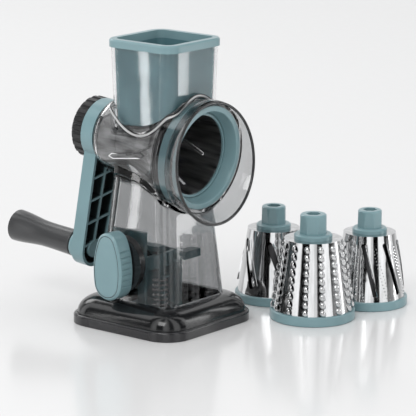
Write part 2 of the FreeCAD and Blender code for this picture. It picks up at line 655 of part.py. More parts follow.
def make_pusher_rim():
    """The lipped frame round the pusher's top, which rests on the hopper."""
    low, high = size("hopper_top") + 0.4, size("hopper_top") + 0.4 + size("rim_height")
    shift = -size("hopper_shift")
    side, corner = size("rim_side"), size("rim_corner")
    frame = tapered([(side, corner, low), (side, corner, high - 1.5), (side - 3, corner - 1.5, high)], shift)
    hollow = hopper_solid(size("wall") + size("pusher_gap") + size("pusher_wall"), low - 1, high + 1)
    node(feature("PusherRim", frame.cut(hollow)), "pusher_rim")


# ---------------------------------------------------------------- crank


def arm_point(along, across):
    """A point of the arm's own plane, from the hub towards the grip."""
    return Vector(across, along, 0)


def arm_outline(inset):
    """The arm's side view: a round head, straight flanks and a round end."""
    head, half = size("arm_head_radius") - inset, size("arm_half_width") - inset
    end, reach = size("arm_end_radius") - inset, size("crank_length")
    neck = math.sqrt(head ** 2 - half ** 2)
    edges = [
        Part.Arc(arm_point(neck, half), arm_point(-head, 0), arm_point(neck, -half)).toShape(),
        Part.LineSegment(arm_point(neck, -half), arm_point(reach, -end)).toShape(),
        Part.Arc(arm_point(reach, -end), arm_point(reach + end, 0), arm_point(reach, end)).toShape(),
        Part.LineSegment(arm_point(reach, end), arm_point(neck, half)).toShape(),
    ]
    return Part.Face(Part.Wire(edges))


def make_arm():
    """A channel open towards the machine, with a spine and slanted cross ribs, and a domed boss for the grip."""
    depth, web, wall, rib = size("arm_depth"), size("arm_web"), size("arm_wall"), size("arm_rib")
    reach = size("crank_length")
    solid = arm_outline(0).extrude(Vector(0, 0, depth))
    channel = arm_outline(wall).extrude(Vector(0, 0, depth - web))
    hub = Part.makeCylinder(size("shaft_radius") + 8, depth)
    foot = Part.makeCylinder(size("grip_pin_radius") + 5, depth, arm_point(reach, 0))
    spine = block((-rib / 2, rib / 2), (0, reach), (1.2, depth))
    ribs = [hub, foot, spine]
    for step in range(4):
        bar = Part.makeBox(80, rib, depth - 1.2, Vector(-40, -rib / 2, 1.2))
        bar.Placement = Placement(arm_point(44 + step * size("rib_pitch"), 0), Rotation(Vector(0, 0, 1), -size("rib_slant")))
        ribs.append(bar)
    stiffening = ribs[0].multiFuse(ribs[1:]).common(channel)
    solid = solid.cut(channel).fuse(stiffening)
    boss = Part.makeCylinder(size("boss_radius"), size("boss_height"), arm_point(reach, 0) + Vector(0, 0, depth))
    rounded = boss.makeFillet(3.5, [e for e in boss.Edges if e.BoundBox.ZMin > depth + size("boss_height") - 1e-6])
    solid = solid.fuse(rounded).removeSplitter()
    solid = solid.cut(Part.makeCylinder(size("shaft_radius") + 0.02, depth + 2, Vector(0, 0, -1)))
    solid = solid.cut(Part.makeCylinder(size("grip_pin_radius") + 0.02, 60, arm_point(reach, 0) + Vector(0, 0, 3)))
    node(feature("CrankArm", solid), "crank_arm", axis_place(size("arm_start"), size("crank_angle")))


def make_drive_shaft():
    """A steel shaft with a hexagon that enters the drum's hub."""
    start = size("drum_seat") + size("cone_foot") + size("cone_height") + size("hub_flange_height") + size("hub_height") \
        - size("socket_depth") + 1
    end = size("arm_start") + size("arm_depth")
    hexagon = Part.makePolygon([Vector(size("hex_across") / math.sqrt(3) * math.cos(math.radians(60 * k)),
                                       size("hex_across") / math.sqrt(3) * math.sin(math.radians(60 * k)), 0)
                                for k in range(7)])
    hexed = Part.Face(hexagon).extrude(Vector(0, 0, size("arm_start") - 0.6 - start))
    round_part = Part.makeCylinder(size("shaft_radius"), end - size("arm_start") + 0.7, Vector(0, 0, size("arm_start") - start - 0.7))
    node(feature("DriveShaft", hexed.fuse(round_part).removeSplitter()), "drive_shaft", axis_place(start))


def make_washer():
    node(turned("ThrustWasher", [
        ("socket_radius + 0.6", "0"), ("bush_bore - 1", "0"), ("bush_bore - 1", "0.8"), ("socket_radius + 0.6", "0.8"),
    ]), "thrust_washer", axis_place(size("arm_start") - 0.95))


def make_lock_knob():
    """The knurled nut that holds the crank on, its rim cut by evenly spaced grooves."""
    body = turned("LockKnob", [
        ("0", "gap"), ("lock_radius", "gap"), ("lock_radius", "lock_thick - 1.5"), ("lock_radius - 1.5", "lock_thick"),
        ("lock_radius * 0.8", "lock_thick"), ("lock_radius * 0.74", "lock_thick - 2"), ("0", "lock_thick - 2"),
    ])
    groove = new_sketch(body, "LockKnobGrooveOutline")
    groove.addGeometry(Part.Circle(Vector(number("lock_radius + 0.5"), 0, 0), Vector(0, 0, 1), number("lock_groove")), False)
    groove.addConstraint(Sketcher.Constraint("PointOnObject", 0, 3, -1))
    hold(groove, "DistanceX", 0, 3, "lock_radius + 0.5")
    at = groove.addConstraint(Sketcher.Constraint("Radius", 0, number("lock_groove")))
    groove.setExpression(f"Constraints[{at}]", cell("lock_groove"))
    cut = body.newObject("PartDesign::Pocket", "LockKnobGroove")
    cut.Profile = groove
    cut.Type = "ThroughAll"
    cut.Midplane = True
    doc.recompute()
    ring = body.newObject("PartDesign::PolarPattern", "LockKnobGrooves")
    ring.Originals = [cut]
    ring.Axis = (origin_plane(body, "Z_Axis"), [""])
    ring.Angle = 360
    ring.Occurrences = 22
    body.Tip = ring
    doc.recompute()
    node(body, "lock_knob", axis_place(size("arm_start") + size("arm_depth")))


def grip_axis(depth):
    """A placement on the grip's axis, at a depth from the mouth."""
    turn = math.radians(size("crank_angle"))
    reach = size("crank_length")
    return axis_place(depth, 0, -reach * math.sin(turn), reach * math.cos(turn))


def make_grip_pin():
    """The steel pin that the grip turns on, with a head inside the grip."""
    body = turned("GripPin", [
        ("0", "0"), ("grip_pin_radius", "0"), ("grip_pin_radius", "grip_length + 8"),
        ("grip_pin_radius + 2.4", "grip_length + 8"), ("grip_pin_radius + 2.4", "grip_length + 10.5"),
        ("0", "grip_length + 10.5"),
    ])
    node(body, "grip_pin", grip_axis(size("arm_start") + 3.2))


def make_grip():
    """The tapered sleeve that turns on the pin, closed by its own cap."""
    start = size("arm_start") + size("arm_depth") + size("boss_height") + 0.4
    length, neck, waist, end = (size(a) for a in ("grip_length", "grip_neck_radius", "grip_waist_radius", "grip_end_radius"))
    curve = Part.BSplineCurve()
    curve.interpolate([Vector(neck, 0, 1.5), Vector(waist + 0.3, 0, length * 0.3), Vector(waist + 0.8, 0, length * 0.55),
                       Vector(end - 0.5, 0, length * 0.82), Vector(end, 0, length * 0.93)])
    edges = [
        Part.LineSegment(Vector(0, 0, 0), Vector(neck - 1.2, 0, 0)).toShape(),
        Part.Arc(Vector(neck - 1.2, 0, 0), Vector(neck - 0.3, 0, 0.5), Vector(neck, 0, 1.5)).toShape(),
        curve.toShape(),
        Part.LineSegment(Vector(end, 0, length * 0.93), Vector(0, 0, length * 0.93)).toShape(),
        Part.LineSegment(Vector(0, 0, length * 0.93), Vector(0, 0, 0)).toShape(),
    ]
    sleeve = Part.Face(Part.Wire(edges)).revolve(Vector(0, 0, 0), Vector(0, 0, 1), 360)
    sleeve = sleeve.cut(Part.makeCylinder(size("grip_bore"), length, Vector(0, 0, -1)))
    head_room = length - 17.5
    sleeve = sleeve.cut(Part.makeCylinder(size("grip_pin_radius") + 3, length, Vector(0, 0, head_room)))
    node(feature("GripSleeve", sleeve), "grip_sleeve", grip_axis(start))
    dome = Part.makeSphere(end * 1.6, Vector(0, 0, length * 0.93 + 0.05 - end * 1.25))
    cap = Part.makeCylinder(end - 0.05, length * 0.07 + 4, Vector(0, 0, length * 0.93 + 0.05)).common(dome)
    node(feature("GripCap", cap), "grip_cap", grip_axis(start))


# ---------------------------------------------------------------- drums


def cone_slab(radius_grow, low=0.0, high=0.0):
    """The cone as a solid, grown in radius, with its foot at the ring's seat."""
    height = size("cone_height")
    slope = (size("cone_top_radius") - size("cone_foot_radius")) / height
    return Part.makeCone(size("cone_foot_radius") + radius_grow - slope * low * -1, size("cone_top_radius") + radius_grow + slope * high,
                         height + low + high, Vector(0, 0, size("cone_foot") - low))


def cone_wall():
    steel = size("sheet_steel")
    shell = cone_slab(0).cut(cone_slab(-steel, 1, 0).cut(
        Part.makeCylinder(60, steel + 1, Vector(0, 0, size("cone_foot") + size("cone_height") - steel))))
    return shell.cut(Part.makeCylinder(size("socket_radius") + 2.4, 4, Vector(0, 0, size("cone_foot") + size("cone_height") - 2)))


def slot_cutter(length, width, lean, at_height, turn):
    """A radial slot through the cone's wall, leaning about the wall's own normal."""
    slot = Part.makeBox(30, width, length - width, Vector(20, -width / 2, -(length - width) / 2))
    ends = [Part.makeCylinder(width / 2, 30, Vector(20, 0, k * (length - width) / 2), Vector(1, 0, 0)) for k in (-1, 1)]
    slot = slot.multiFuse(ends)
    slot.rotate(Vector(0, 0, 0), Vector(1, 0, 0), lean)
    slot.translate(Vector(0, 0, at_height))
    slot.rotate(Vector(0, 0, 0), Vector(0, 0, 1), turn)
    return slot


def tooth_hole(height, turn):
    """A square hole through the cone's wall, under one grating tooth."""
    wide = size("tooth_hole")
    hole = Part.makeBox(30, wide, wide, Vector(20, -wide / 2, height - wide / 2))
    hole.rotate(Vector(0, 0, 0), Vector(0, 0, 1), turn)
    return hole


def punched(kind):
    """The cutting holes of one kind of drum, as one tool."""
    if kind == "coarse":
        return [tooth_hole(size("tooth_start") + size("tooth_pitch") * row, 360 / 14 * column + 1.4)
                for column in range(14) for row in range(9)]
    count, length, width, lean, start = {"fine": (6, 52, 3.2, 22, 0), "slicing": (6, 58, 7, 20, 45),
                                         "slotted": (8, 61, 4.4, 14, 35.5)}[kind]
    return [slot_cutter(length, width, lean, size("slot_level"), 360 / count * column + start) for column in range(count)]


def make_drum(kind, place, share="1"):
    """A ring pressed round a punched cone, and a faceted hub with a hexagon socket, drawn at a share of full size."""

    def shared(profile):
        return [(r if r == "0" else f"({r}) * {share}", z if z == "0" else f"({z}) * {share}") for r, z in profile]

    in_ring = "cone_foot_radius - (cone_foot_radius - cone_top_radius) * (drum_ring_height - cone_foot) / cone_height"
    ring = turned(f"{kind.title()}Ring", shared([
        ("drum_ring_lip", "0"), ("drum_ring_radius - 0.8", "0"), ("drum_ring_radius", "0.8"),
        ("drum_ring_radius", "drum_ring_height - 1"), ("drum_ring_radius - 1", "drum_ring_height"),
        (f"{in_ring} + 0.03", "drum_ring_height"), ("cone_foot_radius + 0.03", "cone_foot - 0.02"),
        ("drum_ring_lip", "cone_foot - 0.02"),
    ]))
    node(ring, f"{kind}_ring", place)
    wall = cone_wall().cut(punched(kind))
    wall.scale(number(share))
    node(feature(f"{kind.title()}Cone", wall), f"{kind}_cone", place)
    hub = turned(f"{kind.title()}Hub", shared([
        ("0", "0"), ("hub_flange_radius", "0"), ("hub_flange_radius", "hub_flange_height - 1.5"),
        ("hub_flange_radius - 1.5", "hub_flange_height"), ("hub_radius", "hub_flange_height"),
        ("hub_tip_radius", "hub_flange_height + hub_height - 1.5"),
        ("hub_tip_radius - 1.5", "hub_flange_height + hub_height"), ("0", "hub_flange_height + hub_height"),
    ]))
    cut_flats(hub, kind, share)
    cut_socket(hub, kind)
    top = number(f"(cone_foot + cone_height) * {share}") + 0.02
    node(hub, f"{kind}_hub", place.multiply(Placement(Vector(0, 0, top), Rotation())))


def cut_flats(hub, kind, share):
    """Eight flats round the hub above its flange, cut by what lies outside an octagon."""
    outline = new_sketch(hub, f"{kind.title()}Octagon")
    outline.AttachmentOffset = Placement(Vector(0, 0, number(f"hub_flange_height * {share}")), Rotation())
    reach = number(f"hub_flat * {share}") / math.cos(math.pi / 8)
    corners = [Vector(reach * math.cos(math.radians(45 * k + 10)), reach * math.sin(math.radians(45 * k + 10)), 0)
               for k in range(8)]
    for k in range(8):
        outline.addGeometry(Part.LineSegment(corners[k], corners[(k + 1) % 8]), False)
    outline.addGeometry(Part.Circle(Vector(0, 0, 0), Vector(0, 0, 1), number(f"hub_flange_radius * {share}") + 5), False)
    for k in range(8):
        outline.addConstraint(Sketcher.Constraint("Coincident", k, 2, (k + 1) % 8, 1))
    pocket = hub.newObject("PartDesign::Pocket", f"{kind.title()}Flats")
    pocket.Profile = outline
    pocket.Length = number(f"hub_height * {share}") + 2
    pocket.Reversed = True
    doc.recompute()
    sharp = [f"Edge{i}" for i, edge in enumerate(hub.Shape.Edges, start=1)
             if edge.BoundBox.ZLength > 8 and isinstance(edge.Curve, Part.Line)]
    if sharp:
        round_edges(hub, f"{kind.title()}Facets", sharp, "hub_facet_round")


def cut_socket(hub, kind):
    """A hexagon right through the hub, the same in every drum, because one shaft drives them all."""
    socket = new_sketch(hub, f"{kind.title()}Socket")
    radius = number("socket_radius")
    corners = [Vector(radius * math.cos(math.radians(60 * k)), radius * math.sin(math.radians(60 * k)), 0)
               for k in range(6)]
    for k in range(6):
        socket.addGeometry(Part.LineSegment(corners[k], corners[(k + 1) % 6]), False)
    for k in range(6):
        socket.addConstraint(Sketcher.Constraint("Coincident", k, 2, (k + 1) % 6, 1))
    socket.addConstraint(Sketcher.Constraint("PointOnObject", 0, 1, -1))
    hold(socket, "DistanceX", 0, 1, "socket_radius")
    for k in range(1, 6):
        for kind_of, text in (("DistanceX", "socket_radius * cos(60 * %d)"), ("DistanceY", "socket_radius * sin(60 * %d)")):
            hold(socket, kind_of, k, 1, text % k) if abs(number(text % k)) > 1e-6 else None
    pocket = hub.newObject("PartDesign::Pocket", f"{kind.title()}SocketCut")
    pocket.Profile = socket
    pocket.Type = "ThroughAll"
    pocket.Midplane = True
    doc.recompute()


def build():
    make_foot_rim()
    make_suction_pad()
    make_base_plate()
    make_base_screws()
    make_base_skirt()
    make_column_shell()
    make_cradle()
    make_bracket()
    make_bezel()
    make_knob()
    make_knob_cap()
    make_knob_shaft()
    make_knob_screw()
    make_yoke()
    make_spring()
    make_cabin()
    make_saddle()
    make_side_rib()
    make_collar()
    make_seal()
    make_bush()
    make_guard()
    make_pusher()
    make_pusher_rim()
    make_arm()
    make_drive_shaft()
    make_washer()
    make_lock_knob()
    make_grip_pin()
    make_grip()
    make_drum("fine", axis_place(size("drum_seat")))
    for kind, (x, y) in FOOTPRINTS.items():
        make_drum(kind, Placement(Vector(x, y, 0), Rotation()), "1" if kind == "coarse" else "small_share")


def check_and_export():
    """Stops on any failed object or bad shape, then writes one file for each node."""
    doc.recompute()
    for obj in doc.Objects:
        if "Invalid" in obj.State or "Error" in obj.State:
            raise RuntimeError(f"{obj.Label} failed: {obj.State}")
    for label, obj in nodes.items():
        if obj.Shape.isNull() or not obj.Shape.isValid() or not obj.Shape.Solids:
            raise RuntimeError(f"{label} has no valid solid")
    os.makedirs(OUT, exist_ok=True)
    for label, obj in nodes.items():
        obj.Shape.exportStep(os.path.join(OUT, label + ".step"))
        print(f"{label}: {len(obj.Shape.Solids)} solid, {obj.Shape.Volume / 1000:.2f} cm3")


build()
check_and_export()
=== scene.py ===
"""Looks of a hand-cranked drum shredder: clear smoky housing, teal fittings and sheet steel drums."""
import json
import math
from contextlib import contextmanager

import bmesh
import bpy
from bpy.props import FloatProperty, FloatVectorProperty, IntProperty, PointerProperty
from mathutils import Matrix, Vector


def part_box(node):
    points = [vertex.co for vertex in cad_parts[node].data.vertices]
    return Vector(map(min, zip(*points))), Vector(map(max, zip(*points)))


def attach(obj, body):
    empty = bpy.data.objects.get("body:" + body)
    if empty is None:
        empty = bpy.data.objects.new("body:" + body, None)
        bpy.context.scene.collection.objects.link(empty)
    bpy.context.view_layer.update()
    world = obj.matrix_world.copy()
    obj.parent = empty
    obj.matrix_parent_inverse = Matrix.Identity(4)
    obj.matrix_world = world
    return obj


bl_info = {
    "name": "Drum shredder looks",
    "version": (1, 0, 0),
    "blender": (4, 5, 0),
    "location": "3D View > Sidebar > Shredder",
    "description": "Materials and fine pieces of a rotary drum shredder",
    "category": "Object",
}

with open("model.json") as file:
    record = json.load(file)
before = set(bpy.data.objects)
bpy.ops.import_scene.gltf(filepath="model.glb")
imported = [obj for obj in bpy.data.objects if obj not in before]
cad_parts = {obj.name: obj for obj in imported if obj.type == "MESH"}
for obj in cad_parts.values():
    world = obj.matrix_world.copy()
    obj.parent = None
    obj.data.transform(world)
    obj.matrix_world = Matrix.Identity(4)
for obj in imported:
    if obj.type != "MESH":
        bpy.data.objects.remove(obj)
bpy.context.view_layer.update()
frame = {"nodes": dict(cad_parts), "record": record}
NODES = frame["nodes"]
MM = 0.001

# ------------------------------------------------------------------ sizes and colours


def colour(name, description, default):
    return FloatVectorProperty(name=name, description=description, default=default, subtype="COLOR",
                               size=3, min=0.0, max=1.0)


def length(name, description, default):
    return FloatProperty(name=name, description=description, default=default, unit="LENGTH", precision=5)


class ShredderColours(bpy.types.PropertyGroup):
    """Colours of the finishes."""
    teal: colour("Teal", "Moulded plastic of the pusher, crank, collar and hubs", (0.195, 0.318, 0.345))
    deep_teal: colour("Deep teal", "The pusher's cup, seen through the hopper", (0.150, 0.310, 0.350))
    cup_inside: colour("Cup inside", "The pusher's cup where it lies in shadow", (0.085, 0.180, 0.205))
    channel: colour("Channel", "The crank arm's channel, in shadow", (0.014, 0.020, 0.021))
    smoke: colour("Smoke", "Tint of the clear housing", (0.57, 0.575, 0.58))
    pale_smoke: colour("Pale smoke", "Tint of the hopper's clearer walls", (0.92, 0.925, 0.93))
    cabin_smoke: colour("Cabin smoke", "Tint of the chamber's walls", (0.70, 0.705, 0.71))
    # Painted shade: the dark lines of the guard's rim bead and of the saddle, and the upper half of the
    # side rib.
    edge_shade: colour("Thick edge", "Tint of the guard's rim, which is looked along", (0.06, 0.06, 0.062))
    # Pale as a painted highlight along the raised lines.
    edge: colour("Moulded edge", "Raised lines of the housing, where it gathers light", (0.82, 0.825, 0.83))
    # Painted highlight on the lower half of the side rib.
    bright: colour("Bright edge", "Raised lines that catch the light", (0.95, 0.955, 0.96))
    dark_smoke: colour("Dark smoke", "Tint of the glossy skirt", (0.010, 0.0105, 0.0115))
    charcoal: colour("Charcoal", "Grip and knurled knob", (0.045, 0.046, 0.048))
    black: colour("Black", "Foot rim and plate", (0.020, 0.020, 0.022))
    steel: colour("Steel", "Cutting drums", (0.66, 0.665, 0.67))
    # Painted shade: the inner face of the loose drums' sheet, and the ramps pressed in beside their slots.
    shaded_inner_steel: colour("Inner steel", "Inner face of the loose drums' sheet", (0.05, 0.05, 0.052))
    # Painted shade: darker than the loose drums' steel, for the drum inside the chamber.
    shaded_seated: colour("Seated steel", "Drum inside the chamber, dulled by use", (0.32, 0.32, 0.322))
    disc: colour("Disc", "Knurled knob on the crank's head", (0.015, 0.015, 0.016))
    rubber: colour("Rubber", "Suction pad and seal", (0.016, 0.016, 0.018))


class ShredderSizes(bpy.types.PropertyGroup):
    """Sizes of the fine pieces."""
    tooth_width: length("Tooth width", "Width of one grating tooth", 0.0081)
    tooth_rise: length("Tooth rise", "How far a tooth stands off the cone", 0.0027)
    blade_width: length("Blade width", "Width of a slicing edge", 0.0042)
    blade_rise: length("Blade rise", "How far a slicing edge stands off the cone", 0.0013)
    pin_rise: length("Pin rise", "How far a fine pin stands off the cone", 0.0012)
    bead: length("Bead", "Radius of the guard's rim bead", 0.0014)
    pin_rows: IntProperty(name="Pin rows", description="Rows of fine pins up the slotted drum",
                          default=17, min=1)


def sizes():
    return bpy.context.scene.shredder_sizes


def colours():
    return bpy.context.scene.shredder_colours


# ------------------------------------------------------------------ where the pieces go

# The drum's axis: Z runs from the mouth into the chamber.
TILT = math.radians(5)
MOUTH = Vector((0, -58.7, 175.7)) * MM
AXIS = Matrix.Translation(MOUTH) @ Matrix.Rotation(TILT - math.pi / 2, 4, "X")
DRUM_SEAT = 12.5 * MM

# The drums, at full size and in their own frames.
CONE_FOOT, CONE_HEIGHT = 2 * MM, 81 * MM
CONE_LOW, CONE_HIGH = 41.6 * MM, 29.5 * MM
CONE_LEAN = math.atan2(CONE_LOW - CONE_HIGH, CONE_HEIGHT)
CONE_SLOPE = (CONE_HIGH - CONE_LOW) / CONE_HEIGHT
SHEET_SKIN, SHEET_TOP = 0.3 * MM, 1.2 * MM
SMALL = 0.92
TOOTH_START, TOOTH_PITCH, TOOTH_COLUMNS, TOOTH_ROWS = 13.5 * MM, 7.9 * MM, 14, 9
TOOTH_TURN_DEG, TOOTH_TWIST, TOOTH_SINK, TOOTH_SHEET = 1.4, math.radians(-62), 0.2 * MM, 0.0004
SLOT_LEVEL = 45 * MM
STRIP_OFF, STRIP_GAP, STRIP_THICK = 0.002, 0.0001, 0.0005
RAMP_WIDTH, RAMP_DEPTH, RAMP_BESIDE = 9.5 * MM, 3.2 * MM, 0.1 * MM
PIN_START_MM, PIN_PITCH_MM, PIN_STAGGER, PIN_SINK = 6, 3.8, 1.9 * MM, 0.1 * MM
PIN_PATCHES, PIN_TURN_DEG, PIN_GAP, PIN_DRIFT = 8, 59.5, 0.115, 7.2
PIN_FOOT, PIN_TIP, PIN_ROOT = 0.0009, 0.00025, 0.0004

# The crank arm's channel, where painted shade darkens it, in a frame turned with the arm: Y along the arm,
# Z deeper in.
CRANK_TURN = math.radians(8)
ARM_REACH = 123 * MM
ARM_TAPER, ARM_HALF, HEAD_RADIUS = -0.0303, 20.73 * MM, 30.5 * MM
ARM_RIM, ARM_FLOOR = 124 * MM, 136.8 * MM
# How far below the rim the channel's painted shade starts and becomes full.
ARM_FADE = (1.4 * MM, 4 * MM)

# The joint round the lever's cap: how far behind the cap's face it may lie, and its half thickness.
JOINT_DEPTH, JOINT_RADIUS, SHARP = 0.0012, 0.00042, math.radians(50)

# The pusher's cup, whose inside takes painted shade, the guard's rim, the chamber's mouth end and the
# sleeves in it: the drum's tail and a dark band of painted shade behind the collar.
CUP_TAPER, CUP_HALF, CUP_CORNER, CUP_DEPTH = 0.025, 28.4 * MM, 8.4 * MM, 78 * MM
RIM_MIDDLE, RIM_LEAN, RIM_RADIUS = Vector((0, 3.5, -11.8)) * MM, math.radians(-9.8), 60.4 * MM
MOUTH_END = (19.5 * MM, 18 * MM)
TAIL_DEPTHS, TAIL_RADII, TAIL_THICK = (95.6 * MM, 113 * MM), (29.6 * MM, 33.2 * MM), 0.5 * MM
SHADE_BAND_DEPTHS, SHADE_BAND_RADIUS, SHADE_BAND_THICK = (21.3 * MM, 28 * MM), 48.1 * MM, 0.8 * MM

# The saddle where the hopper sits on the chamber. The step is a share of the way round it.
SADDLE_HALF, SADDLE_CORNER, SADDLE_BACK = 42.9 * MM, 14.4 * MM, 4 * MM
SADDLE_LOW, SADDLE_HIGH, SADDLE_BLEND = 197.8 * MM, 220.5 * MM, 3 * MM
SADDLE_BEND, SADDLE_LOWEST = 17.5, 5 * MM
CREST_FRONT, CREST_BACK, SADDLE_STEP = 16.5 * MM, 8.8 * MM, 0.002
# The bead, pale as a painted highlight, the thin lines of painted shade beside it, and how far these lie
# from it.
SADDLE_BEAD, SHADE_LINE_RADIUS, SHADE_LINE_LIFT = 1.25 * MM, 0.45 * MM, 1.7 * MM


def centre_of(node):
    low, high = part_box(node)
    return (Vector(low) + Vector(high)) / 2


CUP = Matrix.Translation((0, -4 * MM, 282.5 * MM))
RIB = Matrix.Translation(centre_of("side_rib"))


def drum_place(kind):
    """A drum's own frame: Z up its axis from the ring's face, at its share of full size."""
    if kind == "fine":
        return AXIS @ Matrix.Translation((0, 0, DRUM_SEAT))
    foot = centre_of(f"{kind}_ring")
    share = 1.0 if kind == "coarse" else SMALL
    return Matrix.Translation((foot.x, foot.y, 0)) @ Matrix.Scale(share, 4)


def cone_radius(height):
    return CONE_LOW + (CONE_HIGH - CONE_LOW) * (height - CONE_FOOT) / CONE_HEIGHT


def on_drum(kind, turn, height, sink):
    """A frame on a drum's cone: X straight out from the axis, a little below the sheet's face."""
    stand = Matrix.Translation((cone_radius(height) - sink, 0, height))
    return drum_place(kind) @ Matrix.Rotation(turn, 4, "Z") @ stand


# ------------------------------------------------------------------ modelling helpers


def select_only(*objects):
    """Leaves these objects selected, the first of them active."""
    bpy.ops.object.select_all(action="DESELECT")
    for obj in objects:
        obj.select_set(True)
    bpy.context.view_layer.objects.active = objects[0]


def added(name):
    """Names the primitive that was just added, and gives it back."""
    obj = bpy.context.object
    obj.name = name
    obj.data.name = name
    return obj


@contextmanager
def editing(obj):
    """Edit mode on one object, with its bmesh to pick faces and edges in."""
    select_only(obj)
    bpy.ops.object.mode_set(mode="EDIT")
    bpy.ops.mesh.select_mode(type="VERT")
    yield bmesh.from_edit_mesh(obj.data)
    bpy.ops.object.mode_set(mode="OBJECT")


def finish_modifier(obj, kind, **settings):
    """Adds a modifier with these settings and applies it."""
    select_only(obj)
    modifier = obj.modifiers.new(kind.title(), kind)
    for key, value in settings.items():
        setattr(modifier, key, value)
    bpy.ops.object.modifier_apply(modifier=modifier.name)


def settle(obj, matrix=None):
    """Puts the object's place into its mesh."""
    if matrix is not None:
        obj.matrix_world = matrix @ obj.matrix_world
    select_only(obj)
    bpy.ops.object.transform_apply(location=True, rotation=True, scale=True)


def copies_of(obj, matrices, name):
    """One mesh of a copy of the object at each matrix, without the first."""
    made = []
    for matrix in matrices:
        copy = obj.copy()
        copy.data = obj.data.copy()
        bpy.context.collection.objects.link(copy)
        copy.matrix_world = matrix
        made.append(copy)
    bpy.data.objects.remove(obj)
    select_only(*made)
    bpy.ops.object.join()
    joined = added(name)
    settle(joined)
    return joined


def done(obj, body, material, smooth=35):
    """Shades a finished piece, gives it its finish and sets it on its body."""
    select_only(obj)
    bpy.ops.object.shade_smooth_by_angle(angle=math.radians(smooth))
    obj.data.materials.clear()
    obj.data.materials.append(material)
    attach(obj, body)
    bpy.ops.object.select_all(action="DESELECT")


# ------------------------------------------------------------------ material groups and finishes


class Tree:
    """Short calls to add and join the nodes of one tree."""

    def __init__(self, tree):
        self.tree = tree

    def node(self, kind, inputs=None, **settings):
        made = self.tree.nodes.new(kind)
        for key, value in settings.items():
            setattr(made, key, value)
        for key, value in (inputs or {}).items():
            self.put(made.inputs[key], value)
        return made

    def put(self, socket, value):
        if isinstance(value, bpy.types.NodeSocket):
            self.tree.links.new(value, socket)
        elif hasattr(value, "__len__") and len(value) == 3 and socket.type == "RGBA":
            socket.default_value = (*value, 1.0)
        else:
            socket.default_value = value

    def math(self, operation, *values):
        """The result of a math node on numbers or sockets."""
        return self.node("ShaderNodeMath", dict(enumerate(values)), operation=operation).outputs[0]

    def vector_math(self, operation, *values, result="Vector"):
        """The result of a vector math node on vectors or sockets."""
        made = self.node("ShaderNodeVectorMath", dict(enumerate(values)), operation=operation)
        return made.outputs[result]

    def parts(self, vector):
        """The three numbers of a vector, by name."""
        return self.node("ShaderNodeSeparateXYZ", {"Vector": vector}).outputs

    def ramp(self, value, start, end, low=0.0, high=1.0):
        """A number taken from one range to another, and held at its ends."""
        inputs = {"Value": value, "From Min": start, "From Max": end, "To Min": low, "To Max": high}
        return self.node("ShaderNodeMapRange", inputs).outputs["Result"]

    def noise(self, vector, scale, detail):
        inputs = {"Vector": vector, "Scale": scale, "Detail": detail}
        return self.node("ShaderNodeTexNoise", inputs).outputs["Fac"]

    def group(self, group, inputs):
        """The outputs of one of the shared groups, with its inputs set."""
        made = self.node("ShaderNodeGroup", node_tree=group)
        for key, value in inputs.items():
            self.put(made.inputs[key], value)
        return made.outputs


def add_sockets(group, side, sockets):
    """Gives a group its inputs or outputs: a label, a kind and perhaps a default for each."""
    for label, kind, *default in sockets:
        made = group.interface.new_socket(name=label, in_out=side, socket_type=f"NodeSocket{kind}")
        if default:
            made.default_value = default[0]


def shared_group(name, inputs, outputs):
    """Makes a function that fills a node group give that group, which is built only once."""
    def shared(fill):
        def group():
            if name in bpy.data.node_groups:
                return bpy.data.node_groups[name]
            made = bpy.data.node_groups.new(name, "ShaderNodeTree")
            add_sockets(made, "INPUT", (("Vector", "Vector"), *inputs))
            add_sockets(made, "OUTPUT", outputs)
            tree = Tree(made)
            inlet, outlet = tree.node("NodeGroupInput"), tree.node("NodeGroupOutput")
            for label, result in fill(tree, inlet.outputs).items():
                tree.put(outlet.inputs[label], result)
            return made
        return group
    return shared


SKIN = (("Colour", "Color"), ("Roughness", "Float"), ("Height", "Float"))
MASK = (("Mask", "Float"),)


def tinted(tree, colour_in, shade):
    """A colour made lighter or darker by a factor."""
    made = tree.node("ShaderNodeVectorMath", {0: colour_in, "Scale": shade}, operation="SCALE")
    return made.outputs["Vector"]


@shared_group("Moulded surface", (("Colour", "Color", (0.5, 0.5, 0.5, 1)), ("Grain scale", "Float", 900.0),
                                  ("Roughness", "Float", 0.3), ("Rub", "Float", 0.08)), SKIN)
def moulded_group(tree, given):
    """Moulding: a fine skin grain, slow mottling of the colour, and rubbed patches in the gloss."""
    grain = tree.noise(given["Vector"], given["Grain scale"], 2.0)
    slow = tree.noise(given["Vector"], 22.0, 3.0)
    rubbed = tree.noise(given["Vector"], 70.0, 4.0)
    shade = tree.ramp(slow, 0.3, 0.7, 0.93, 1.05)
    spread = tree.math("SUBTRACT", rubbed, 0.5)
    gloss = tree.math("MULTIPLY_ADD", spread, given["Rub"], given["Roughness"])
    return {"Colour": tinted(tree, given["Colour"], shade), "Roughness": gloss, "Height": grain}


@shared_group("Drawn sheet", (("Colour", "Color", (0.6, 0.6, 0.6, 1)), ("Roughness", "Float", 0.16),
                              ("Streak", "Float", 0.12), ("Bands", "Float", 0.13)), SKIN)
def brushed_group(tree, given):
    """Drawn sheet: fine streaks along one direction, with slow changes of tone between them."""
    drawn = tree.node("ShaderNodeMapping", {"Vector": given["Vector"], "Scale": (1.0, 1.0, 0.02)})
    streak = tree.noise(drawn.outputs["Vector"], 900.0, 3.0)
    broad = tree.noise(drawn.outputs["Vector"], 160.0, 2.0)
    swing = tree.ramp(broad, 0.3, 0.7, -1.0, 1.0)
    shade = tree.math("MULTIPLY_ADD", swing, given["Bands"], 0.95)
    spread = tree.math("SUBTRACT", streak, 0.5)
    gloss = tree.math("MULTIPLY_ADD", spread, given["Streak"], given["Roughness"])
    return {"Colour": tinted(tree, given["Colour"], shade), "Roughness": gloss, "Height": streak}


